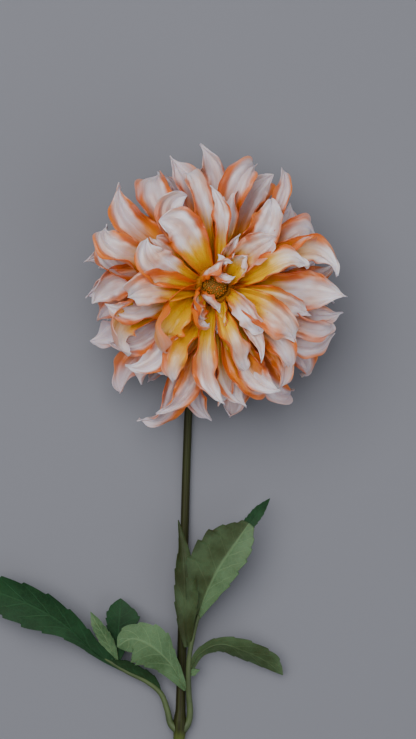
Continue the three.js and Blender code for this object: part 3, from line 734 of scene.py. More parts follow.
def rgb(red: float, green: float, blue: float) -> Colour:
    """A colour from screen values between 0 and 255."""
    return (*((((c / 255) + 0.055) / 1.055) ** 2.4 for c in (red, green, blue)), 1.0)


@dataclass(frozen=True)
class Streaks:
    """Fine streaks that run the length of a blade, as veins do, and broad soft clouds.

    Args:
        count: streaks across a blade, where a material doesn't say.
        length: how often a streak changes along the blade.
        cloud_across: clouds across the blade.
        cloud_along: clouds along it.
        seed_step: how far apart the patterns of two pieces lie.
    """

    count: float = 24.0
    length: float = 1.6
    cloud_across: float = 2.5
    cloud_along: float = 3.5
    seed_step: float = 37.0

    def build(self) -> bpy.types.NodeTree:
        """Builds the shared group, which reads a UV map and a piece's own number.

        Returns:
            The group.
        """
        p = Painter.group(
            "lengthwise_streaks",
            [("UV", VECTOR_SOCKET, 0.0), ("Seed", NUMBER_SOCKET, 0.0), ("Count", NUMBER_SOCKET, self.count)],
            [("Streak", NUMBER_SOCKET), ("Cloud", NUMBER_SOCKET)],
        )
        given = p.add("NodeGroupInput").outputs
        u, v, _ = p.parts(given["UV"])
        seed = p.times(given["Seed"], self.seed_step)
        fine = p.noise(p.vector(p.times(u, given["Count"]), p.times(v, self.length), seed), 1.0, 3.0, 0.55)
        broad = p.vector(p.times(u, self.cloud_across), p.times(v, self.cloud_along), seed)
        p.add("NodeGroupOutput", Streak=fine, Cloud=p.noise(broad, 1.0, 2.0, 0.5))
        return p.tree


@dataclass(frozen=True)
class PetalPlace:
    """What a petal's finish knows of a point: where it lies and what its petal is like.

    Args:
        along: 0 at the root and 1 at the tip.
        centred: 0 on the midrib and 1 at a margin.
        across: the same, shifted to one side by chance and with soft swings.
        wobble: soft swings to either side of 0.
        streak: fine lengthwise streaks.
        cloud: broad soft clouds.
        tint: the petal's own number between 0 and 1.
        ring: 0 in the heart of the bloom and 1 at its back.
        rim: how strongly the petal's margins are edged in orange.
        gold: how far the yellow reaches up it.
    """

    along: Socket
    centred: Socket
    across: Socket
    wobble: Socket
    streak: Socket
    cloud: Socket
    tint: Socket
    ring: Socket
    rim: Socket
    gold: Socket


@dataclass(frozen=True)
class PetalFinish:
    """Petal flesh: lilac white at the tip, orange along both margins, yellow at the claw.

    Args:
        name: the material's name.
        band: how far in from the margin the orange starts, as a share of half the width.
        golden: how much farther up the petal the yellow reaches on this side, as a share of its length.
        white, blush, lilac, shade: the flesh, its warm flush, its tone on outer petals and in its hollows.
        orange, deep, line: the margins' band, its darker patches and the line at the very edge.
        yellow, amber: the claw and its foot; the foot's amber is partly its own colour and partly painted
            shade deep in the bloom.
        white, blush_and_shade, lilac, shade: the flesh; its warm flush, which along the streaks is painted
            shade; its tone on outer petals; and the painted shade in the streaks' hollows.
        wobble: how far the clouds push the colours to and fro.
        shift: how far the orange may lie to one side.
        slope: how much narrower the band is at the tip.
        chance: how much wider the band of some petals is.
        heart_margin: how much narrower it is in the heart of the bloom.
        softness: how softly it ends.
        patches: how patchy it is.
        tip: where along the petal the band fades out.
        full_rim: margins edged more strongly than this keep their band up to the tip.
        outer: rings that turn lilac and whose claws turn orange.
        flush: clouds that turn to the warm flush.
        hollow_shade: how much painted shade darkens the streaks' hollows.
        edge: where across the petal the line starts and is full.
        edge_end: where along it the line fades out.
        relief, relief_depth: strength and depth of the streaks' fine relief.
        roughness, sheen, depth: how matt it is, how strongly it reflects and how much light it lets in.
    """

    name: str
    band: float
    golden: float
    white: Colour = rgb(244, 236, 242)
    blush_and_shade: Colour = rgb(212, 166, 148)
    lilac: Colour = rgb(190, 172, 186)
    shade: Colour = rgb(158, 134, 148)
    orange: Colour = rgb(218, 110, 30)
    deep: Colour = rgb(192, 84, 24)
    line: Colour = rgb(186, 66, 24)
    yellow: Colour = rgb(236, 178, 0)
    amber: Colour = rgb(200, 124, 0)
    veins: float = 26.0
    wobble: float = 0.7
    shift: float = 0.5
    slope: float = 0.8
    chance: float = 0.35
    heart_margin: float = 0.18
    softness: float = 0.4
    patches: float = 1.2
    tip: Range = (0.74, 1.0)
    full_rim: Range = (1.5, 1.9)
    outer: Range = (0.3, 1.0)
    flush: Range = (0.35, 0.75)
    hollow_shade: float = 0.8
    edge: Range = (0.92, 0.99)
    edge_end: Range = (0.5, 0.85)
    relief: float = 0.6
    relief_depth: float = 0.0007
    roughness: float = 0.33
    sheen: float = 0.62
    depth: float = 0.4

    def place(self, p: Painter, streaks: bpy.types.NodeTree) -> PetalPlace:
        """Reads all that the colours depend on.

        Args:
            p: the material's painter.
            streaks: the shared group of lengthwise streaks.

        Returns:
            The point's place and its petal's own numbers.
        """
        uv = p.map()
        u, v, _ = p.parts(uv)
        tint = p.mark(PETAL_TINT)
        vein = p.add("ShaderNodeGroup", {"node_tree": streaks}, UV=uv, Seed=tint, Count=self.veins).outputs
        sided = p.minus(p.times(u, 2.0), 1.0)
        wobble = p.swing(vein["Cloud"], self.wobble)
        return PetalPlace(
            along=v,
            centred=p.size(sided),
            across=p.plus(p.size(p.plus(sided, p.swing(tint, self.shift))), wobble),
            wobble=wobble,
            streak=vein["Streak"],
            cloud=vein["Cloud"],
            tint=tint,
            ring=p.mark(PETAL_RING),
            rim=p.mark(PETAL_RIM),
            gold=p.mark(PETAL_GOLD),
        )

    def margin_band(self, p: Painter, at: PetalPlace) -> Socket:
        """How much orange shows: it widens towards the root and fades out at the tip.

        Args:
            p: the material's painter.
            at: the point's place.

        Returns:
            The share of orange.
        """
        start = p.minus(p.times(at.along, self.slope), p.plus(p.times(at.tint, self.chance), self.band))
        start = p.plus(start, p.times(p.fall(at.ring, 0.0, 0.6), self.heart_margin))
        band = p.rise(at.across, start, p.plus(start, self.softness))
        fading = p.times(p.rise(p.plus(at.along, at.wobble), *self.tip), p.fall(at.rim, *self.full_rim))
        patchy = p.rise(p.plus(at.rim, p.swing(at.cloud, self.patches)), 0.0, 0.9)
        return p.times(p.times(band, p.rest(fading)), patchy)

    def pale_flesh(self, p: Painter, at: PetalPlace) -> Socket:
        """The colour between the margins, flushed in clouds, with painted shade pinking its streaks and
        darkening their hollows.

        Args:
            p: the material's painter.
            at: the point's place.

        Returns:
            The colour.
        """
        flushed = p.rise(p.plus(at.cloud, p.times(at.tint, 0.2)), *self.flush)
        flesh = p.blend(p.times(flushed, p.fall(at.along, 0.7, 1.0)), self.white, self.blush_and_shade)
        flesh = p.blend(p.times(p.rise(at.ring, *self.outer), 0.75), flesh, self.lilac)
        # Painted shade: the streaks are pinked, as shade along the veins would pink them.
        flesh = p.blend(p.times(at.streak, 0.3, True), flesh, self.blush_and_shade)
        # Painted shade: where streaks and clouds are strong, the flesh darkens to the shade colour.
        hollow_shade = p.times(p.rise(at.streak, 0.5, 0.95), p.rise(at.cloud, 0.3, 0.6))
        return p.blend(p.times(hollow_shade, self.hollow_shade, True), flesh, self.shade)

    def golden_share(self, p: Painter, at: PetalPlace) -> Socket:
        """How much of the claw's colour shows, with a streaky upper end."""
        reach = p.plus(p.plus(at.gold, p.swing(at.tint, 0.2)), self.golden)
        return p.fall(p.plus(at.along, p.swing(at.streak, 0.28)), p.times(reach, 0.5), reach)

    def claw(self, p: Painter, at: PetalPlace) -> Socket:
        """The claw's colour: yellow, orange at the margins and on outer petals, amber at its foot, partly
        its own colour and partly painted shade deep in the bloom.

        Args:
            p: the material's painter.
            at: the point's place.

        Returns:
            The colour.
        """
        warm = p.blend(p.rise(at.across, 0.45, 0.95), self.yellow, self.orange)
        # Partly painted shade: the claw turns amber towards its foot, deep in the bloom.
        warm = p.blend(p.fall(at.along, 0.0, 0.25), warm, self.amber)
        return p.blend(p.rise(at.ring, *self.outer), warm, self.orange)

    def build(self, streaks: bpy.types.NodeTree) -> bpy.types.Material:
        """Paints the material.

        Args:
            streaks: the shared group of lengthwise streaks.

        Returns:
            The material.
        """
        p, made = Painter.material(self.name)
        at = self.place(p, streaks)
        ripe = p.blend(p.rise(at.cloud, 0.4, 0.65), self.orange, self.deep)
        colour = p.blend(self.margin_band(p, at), self.pale_flesh(p, at), ripe)
        colour = p.blend(self.golden_share(p, at), colour, self.claw(p, at))
        edge = p.times(p.rise(at.centred, *self.edge), p.fall(at.along, *self.edge_end))
        colour = p.blend(p.times(edge, p.times(at.rim, 0.7, True)), colour, self.line)
        p.finish(
            Base_Color=colour,
            Roughness=self.roughness,
            Normal=p.bump(at.streak, self.relief, self.relief_depth),
            Subsurface_Weight=self.depth,
            Subsurface_Radius=(1.0, 0.55, 0.3),
            Subsurface_Scale=0.004,
            Specular_IOR_Level=self.sheen,
        )
        return made


@dataclass(frozen=True)
class FleshFinish:
    """A fleshy part of the plant: a base colour, a second one in soft clouds, and fine grain.

    Args:
        name: the material's name.
        base, second: its two colours.
        roughness: how matt it is.
        clouds: clouds to a metre.
        grain: grains to a metre.
    """

    name: str
    base: Colour
    second: Colour
    roughness: float = 0.55
    clouds: float = 45.0
    grain: float = 900.0

    def build(self) -> bpy.types.Material:
        """Paints the material.

        Returns:
            The material.
        """
        p, made = Painter.material(self.name)
        place = p.place()
        fine = p.noise(place, self.grain, 2.0, 0.6)
        colour = p.blend(p.rise(p.noise(place, self.clouds, 3.0, 0.6), 0.35, 0.7), self.base, self.second)
        colour = p.blend(p.times(fine, 0.25), colour, self.second)
        p.finish(Base_Color=colour, Roughness=self.roughness, Normal=p.bump(fine, 0.3, 0.0003))
        return made


@dataclass(frozen=True)
class StemFinish:
    """The stem's skin: dark olive with fine lengthwise streaks, greener at the neck and from the node down.

    Args:
        dark, brown, green: the skin, its clouds, and its streaks and young parts.
        roughness, sheen: how matt it is and how strongly it reflects.
        streaks: streaks round the stem and along it.
        clouds: clouds to a metre.
        node, neck: where along the stem the green of the node ends and that of the neck starts.
    """

    dark: Colour = rgb(36, 40, 12)
    brown: Colour = rgb(34, 29, 10)
    green: Colour = rgb(84, 98, 44)
    roughness: float = 0.55
    sheen: float = 0.2
    streaks: tuple[float, float, float] = (26.0, 1.2, 1.0)
    clouds: float = 30.0
    node: Range = (0.1, 0.16)
    neck: Range = (0.86, 0.97)

    def build(self) -> bpy.types.Material:
        """Paints the material.

        Returns:
            The material.
        """
        p, made = Painter.material("stem_skin")
        uv = p.map()
        drawn = p.add("ShaderNodeMapping", Vector=uv, Scale=self.streaks).outputs[0]
        streaks = p.noise(drawn, 1.0, 3.0, 0.6)
        clouds = p.rise(p.noise(p.place(), self.clouds, 3.0, 0.6), 0.35, 0.7)
        along = p.parts(uv)[1]
        young = p.reckon("MAXIMUM", p.fall(along, *self.node), p.rise(along, *self.neck))
        colour = p.blend(p.times(clouds, 0.8), self.dark, self.brown)
        colour = p.blend(p.times(p.rise(streaks, 0.45, 0.75), 0.45), colour, self.green)
        colour = p.blend(p.times(young, 0.65), colour, self.green)
        p.finish(
            Base_Color=colour,
            Roughness=self.roughness,
            Normal=p.bump(streaks, 0.3, 0.0003),
            Specular_IOR_Level=self.sheen,
        )
        return made


@dataclass(frozen=True)
class LeafFinish:
    """A leaf blade with a midrib and side veins that run forward to its margins.

    Args:
        name: the material's name.
        base, second: the blade and its clouds.
        vein: the veins and the net between them.
        shaded: the painted shade that it turns to, dark and brown.
        roughness, sheen: how matt it is and how strongly it reflects.
        pairs: pairs of side veins.
        slant: how far forward they run.
        net: meshes of the net to a metre.
        clouds: clouds to a metre.
    """

    name: str
    base: Colour
    second: Colour
    vein: Colour
    shaded: Colour
    roughness: float
    sheen: float = 0.16
    pairs: float = 7.0
    slant: float = 0.42
    net: float = 420.0
    clouds: float = 60.0

    def veins(self, p: Painter, u: Socket, v: Socket) -> Socket:
        """Where the midrib and the side veins run.

        Args:
            p: the material's painter.
            u: place across the blade, 0 to 1.
            v: place along it, 0 to 1.

        Returns:
            1 on a vein and 0 off it.
        """
        across = p.size(p.minus(p.times(u, 2.0), 1.0))
        phase = p.reckon("FRACT", p.times(p.minus(v, p.times(across, self.slant * 0.5)), self.pairs))
        side_vein = p.times(p.fall(p.size(p.minus(phase, 0.5)), 0.015, 0.07), p.fall(across, 0.5, 0.98))
        return p.reckon("MAXIMUM", side_vein, p.fall(across, 0.02, 0.07))

    def build(self) -> bpy.types.Material:
        """Paints the material.

        Returns:
            The material.
        """
        p, made = Painter.material(self.name)
        place = p.place()
        u, v, _ = p.parts(p.map())
        veins = self.veins(p, u, v)
        cells = p.add("ShaderNodeTexVoronoi", {"feature": "DISTANCE_TO_EDGE"}, Vector=place, Scale=self.net)
        net = p.fall(cells.outputs[0], 0.0, 0.12)
        clouds = p.rise(p.noise(place, self.clouds, 3.0, 0.6), 0.3, 0.7)
        colour = p.blend(clouds, self.base, self.second)
        colour = p.blend(p.times(net, 0.22), colour, self.vein)
        colour = p.blend(p.times(veins, 0.55), colour, self.vein)
        # Painted shade: the half left of the midrib, and a whole leaflet by its own number, darken towards
        # the shaded colour.
        half = p.times(p.mark(LEAF_HALF_SHADE), p.fall(u, 0.46, 0.5))
        painted_shade = p.plus(p.mark(LEAF_SHADE), half, True)
        colour = p.blend(p.times(painted_shade, p.plus(0.6, p.times(clouds, 0.3))), colour, self.shaded)
        p.finish(
            Base_Color=colour,
            Roughness=self.roughness,
            Normal=p.bump(p.plus(p.times(net, 0.25), veins), 0.3, 0.0003),
            Subsurface_Weight=0.1,
            Subsurface_Scale=0.002,
            Specular_IOR_Level=self.sheen,
        )
        return made


@dataclass(frozen=True)
class DiscFinish:
    """Floret buds: yellow-brown at the foot, orange-red at many tips and greenish at the young ones.

    Args:
        foot, tip, middle: the buds' foot, the tips of the ripe ones and those of the young ones.
        heights: where a bud's tip colour starts and is full, in metres.
        ripe: how open a bud is when its tip turns orange.
        young: how open it is when its tip is no longer greenish.
        grain: grains to a metre.
        roughness: how matt the buds are.
    """

    foot: Colour = rgb(146, 104, 16)
    tip: Colour = rgb(255, 114, 8)
    middle: Colour = rgb(140, 128, 46)
    heights: Range = (0.0535, 0.0572)
    ripe: Range = (0.3, 0.6)
    young: Range = (0.0, 0.25)
    grain: float = 1500.0
    roughness: float = 0.65

    def build(self) -> bpy.types.Material:
        """Paints the material.

        Returns:
            The material.
        """
        p, made = Painter.material("disc_floret")
        place = p.place()
        up = p.rise(p.parts(place)[2], *self.heights)
        opened = p.mark(FLORET_OPEN)
        colour = p.blend(p.times(up, p.rise(opened, *self.ripe)), self.foot, self.tip)
        colour = p.blend(p.times(up, p.fall(opened, *self.young)), colour, self.middle)
        p.finish(
            Base_Color=colour,
            Roughness=self.roughness,
            Normal=p.bump(p.noise(place, self.grain, 2.0, 0.6), 0.4, 0.0002),
            Subsurface_Weight=0.15,
            Subsurface_Scale=0.001,
        )
        return made


PETAL_FACE = PetalFinish("petal_face", 0.05, 0.03)
PETAL_BACK = PetalFinish("petal_back", 0.3, 0.15, yellow=rgb(228, 142, 36), amber=rgb(196, 104, 16))
HEAD_FLESH = FleshFinish("head_flesh", rgb(176, 112, 8), rgb(120, 74, 10))
GREEN_SKIN = FleshFinish("green_skin", rgb(92, 108, 52), rgb(70, 88, 40))
PETIOLE_SKIN = FleshFinish("petiole_skin", rgb(72, 88, 48), rgb(52, 66, 34), roughness=0.6)
LEAF_FACE = LeafFinish(
    "leaf_face",
    base=rgb(28, 62, 34),
    second=rgb(17, 45, 22),
    vein=rgb(38, 74, 44),
    shaded=rgb(34, 40, 16),
    roughness=0.6,
)
LEAF_UNDERSIDE = LeafFinish(
    "leaf_underside",
    base=rgb(86, 114, 80),
    second=rgb(66, 92, 60),
    vein=rgb(104, 130, 92),
    shaded=rgb(42, 46, 20),
    roughness=0.5,
)


@dataclass(frozen=True)
class RingForm:
    """Where a ring of petals grows and how it arches.

    Args:
        root_radius: distance of the roots from the axis.
        root_height: height of the roots.
        rise: angle at which petals leave the head.
        arch: extra height half way, as a share of the chord.
        tip_height: height of the tips.
        fall: angle at which the tips point.
        shade: 0 in the heart of the bloom and 1 at its back.
    """

    root_radius: float
    root_height: float
    rise: float
    arch: float
    tip_height: float
    fall: float
    shade: float


class Ring(Enum):
    """The rings of petals, from the heart of the bloom to its back."""

    HEART = RingForm(8.4, 48, 76, 0.1, 63, 5, 0.0)
    INNER = RingForm(9, 46, 54, 0.06, 66, -12, 0.25)
    MIDDLE = RingForm(10.5, 41, 42, 0.06, 56, -20, 0.5)
    OUTER = RingForm(12, 35, 30, 0.06, 43, -22, 0.75)
    BACK = RingForm(13.5, 32, 14, 0.05, 27, -25, 0.9)
    UNDER = RingForm(13.5, 30, 0, 0.03, 11, -42, 1.0)
    LOWEST = RingForm(12, 28, -8, 0.02, -6, -30, 1.0)


@dataclass(frozen=True)
class Petal:
    """One petal.

    Args:
        ring: the ring it belongs to.
        root: azimuth of its root.
        to: azimuth of its tip.
        reach: distance of its tip from the axis.
        hook: how far the tip's own direction turns from straight out.
        width: its greatest width.
        height: height of its tip, where the ring's doesn't suit.
        fall: angle at which its tip points, where the ring's doesn't suit.
        roll: turn about its length at the tip.
        left: how far the left margin curls up.
        right: how far the right margin curls up.
        flick: how far the end turns in the petal's plane, where not as far as the hook.
        kick: how far the end turns up towards the face.
        point: how drawn out its tip is; below 1 it is rounded off.
        calm: share of its own waves that it shows.
        gold: how far the yellow reaches up it, as a share of its length, where not as in its ring.
        rim: how strongly its margins are edged in orange, where not left to chance.
    """

    ring: Ring
    root: float
    to: float
    reach: float
    hook: float
    width: float
    height: float | None = None
    fall: float | None = None
    roll: float = 0.0
    left: float = 50.0
    right: float = 50.0
    flick: float | None = None
    kick: float | None = None
    point: float = 1.5
    calm: float = 1.0
    gold: float | None = None
    rim: float | None = None

    def spine(self, ruffle: "Ruffle") -> Spine:
        """The curve that the petal follows from the head to its tip.

        Args:
            ruffle: the petal's own waves.

        Returns:
            The curve with its side and face directions.
        """
        form = self.ring.value
        fall = form.fall if self.fall is None else self.fall
        start = polar(form.root_radius, self.root, form.root_height)
        end = polar(self.reach, self.to, form.tip_height if self.height is None else self.height)
        flick = self.hook if self.flick is None else self.flick
        kick = ruffle.kick if self.kick is None else self.kick
        aim = end
        for _ in range(2):
            chord = float(np.linalg.norm(aim - start))
            pointing = direction(self.to + self.hook * HOOK_SHARE, fall)
            lift = start + direction(self.root, form.rise) * chord * LIFT_SHARE
            knee = aim - pointing * chord * TIP_SHARE
            knee_azimuth = math.degrees(math.atan2(knee[1], knee[0]))
            swing = (knee_azimuth - self.root + 540) % 360 - 180
            belly = polar(
                (math.hypot(lift[0], lift[1]) + math.hypot(knee[0], knee[1])) / 2,
                self.root + swing / 2 + ruffle.sway,
                (lift[2] + knee[2]) / 2 + chord * form.arch,
            )
            spine = Spine(bezier([start, lift, belly, knee, aim]), direction(self.root - 90), flick, kick)
            aim = aim + end - spine.points[-1]
        return spine

    def outline(self, t: np.ndarray) -> np.ndarray:
        """The petal's outline: narrow at the claw, widest past the middle and pointed.

        Args:
            t: place along, 0 to 1.

        Returns:
            The width there as a share of the greatest.
        """
        past = np.clip((t - WIDEST) / (1 - WIDEST), 0, 1)
        tip = (1 - past**TAPER) ** self.point
        return np.where(t <= WIDEST, mix(CLAW_WIDTH, 1.0, smoothstep(t, 0, WIDEST)), tip)

    def places(self, s: np.ndarray, t: np.ndarray, ruffle: "Ruffle") -> np.ndarray:
        """Where the vertices of a flat blank go on this petal.

        Args:
            s: place across, -1 to 1.
            t: place along, 0 to 1.
            ruffle: the petal's own waves.

        Returns:
            The places in millimetres, from the bloom's axis.
        """
        half = self.width / 2 * self.outline(t) * ruffle.widening(s, t, self.calm)
        opened = smoothstep(t, 0.3, 0.85)
        waving = self.calm * np.radians(ruffle.depth) * smoothstep(t, 0.2, 0.5)
        curls = tuple(
            np.radians(mix(CLAW_CURL, angle, opened)) + waving * ruffle.wave(t, phase)
            for angle, phase in ((self.left, ruffle.left), (self.right, ruffle.right))
        )
        roll = np.radians(self.roll + self.calm * ruffle.twist) * smoothstep(t, 0.35, 1)
        points = bend_blade(self.spine(ruffle), s, t, half, curls, roll, self.width * ruffle.relief(s, t))
        points[:, 2] = np.maximum(points[:, 2], PETAL_WALL)
        return points


@dataclass(frozen=True)
class Ruffle:
    """The waves of one petal.

    Args:
        left: where the left margin's wave starts, as a share of a wave.
        right: where the right margin's wave starts.
        waves: waves along the petal.
        twist: extra turn about the petal's length, in degrees.
        sway: how far the middle bows to one side, in degrees of azimuth.
        kick: how far the end turns up towards the face, in degrees.
        depth: how far the waves curl the margins to and fro, in degrees.
        swell: how far the waves widen and narrow the petal, as a share of its width.
        frills: small waves along its margins.
        frill_height: height of the small waves, as a share of the width, like the heights below.
        notch_depth: how deep the margins are notched, as a share of half the width.
        fold_height: height of the lengthwise folds.
        keel_depth: depth of the groove along the middle.
        pucker_height: height of the puckers between the margins.
    """

    left: float
    right: float
    waves: float
    twist: float
    sway: float
    kick: float
    depth: float = 52.0
    swell: float = 0.12
    frills: float = 4.6
    frill_height: float = 0.11
    notch_depth: float = 0.028
    fold_height: float = 0.04
    keel_depth: float = 0.05
    pucker_height: float = 0.007

    @classmethod
    def drawn(cls, draw: Callable[[], float]) -> "Ruffle":
        """Takes the next petal's waves from a repeatable draw.

        Args:
            draw: the draw.

        Returns:
            The waves.
        """
        left, right, waves = draw(), draw(), 1.5 + draw()
        twist, sway = spread(draw, TWIST_SPREAD), spread(draw, SWAY_SPREAD)
        return cls(left, right, waves, twist, sway, kick=draw() * 120 - 70)

    def wave(self, t: np.ndarray, phase: np.ndarray | float) -> np.ndarray:
        """The petal's long waves at places along it, from where they start."""
        return np.sin(math.tau * (self.waves * t + phase))

    def phases(self, s: np.ndarray) -> np.ndarray:
        """Where the wave of each vertex's own margin starts."""
        return np.where(s < 0, self.left, self.right)

    def widening(self, s: np.ndarray, t: np.ndarray, calm: float) -> np.ndarray:
        """How much wider or narrower the waves and notches make the petal.

        Args:
            s: place across, -1 to 1.
            t: place along, 0 to 1.
            calm: share of its waves that the petal shows.

        Returns:
            The width at each vertex as a share of the outline's.
        """
        phases = self.phases(s)
        swelling = calm * self.swell * smoothstep(t, 0.1, 0.4)
        notches = np.sin(math.tau * (1.9 * self.frills * t + 7 * phases)) * smoothstep(t, 0.4, 0.75)
        return 1 + swelling * self.wave(t, phases) + self.notch_depth * notches

    def relief(self, s: np.ndarray, t: np.ndarray) -> np.ndarray:
        """How far folds, groove, frills and puckers stand out of the petal's face.

        Args:
            s: place across, -1 to 1.
            t: place along, 0 to 1.

        Returns:
            The height at each vertex as a share of the petal's width.
        """
        phases = self.phases(s)
        middle = smoothstep(t, 0.05, 0.3) * (1 - smoothstep(t, 0.8, 1.0))
        folds = np.cos(s * math.pi * 3.6 + self.left * 4) * middle
        keel = np.exp(-((s / 0.22) ** 2)) * smoothstep(t, 0.1, 0.5)
        frill = np.sin(math.tau * (self.frills * t + 3 * phases)) * np.abs(s) ** 3
        frill = frill * smoothstep(t, 0.25, 0.6)
        puckers = np.sin(math.tau * (1.7 * self.frills * t + 5 * phases) + 6 * s) * (1 - s * s)
        puckers = puckers * smoothstep(t, 0.2, 0.7)
        raised = self.fold_height * folds - self.keel_depth * keel
        return raised + self.frill_height * frill + self.pucker_height * puckers


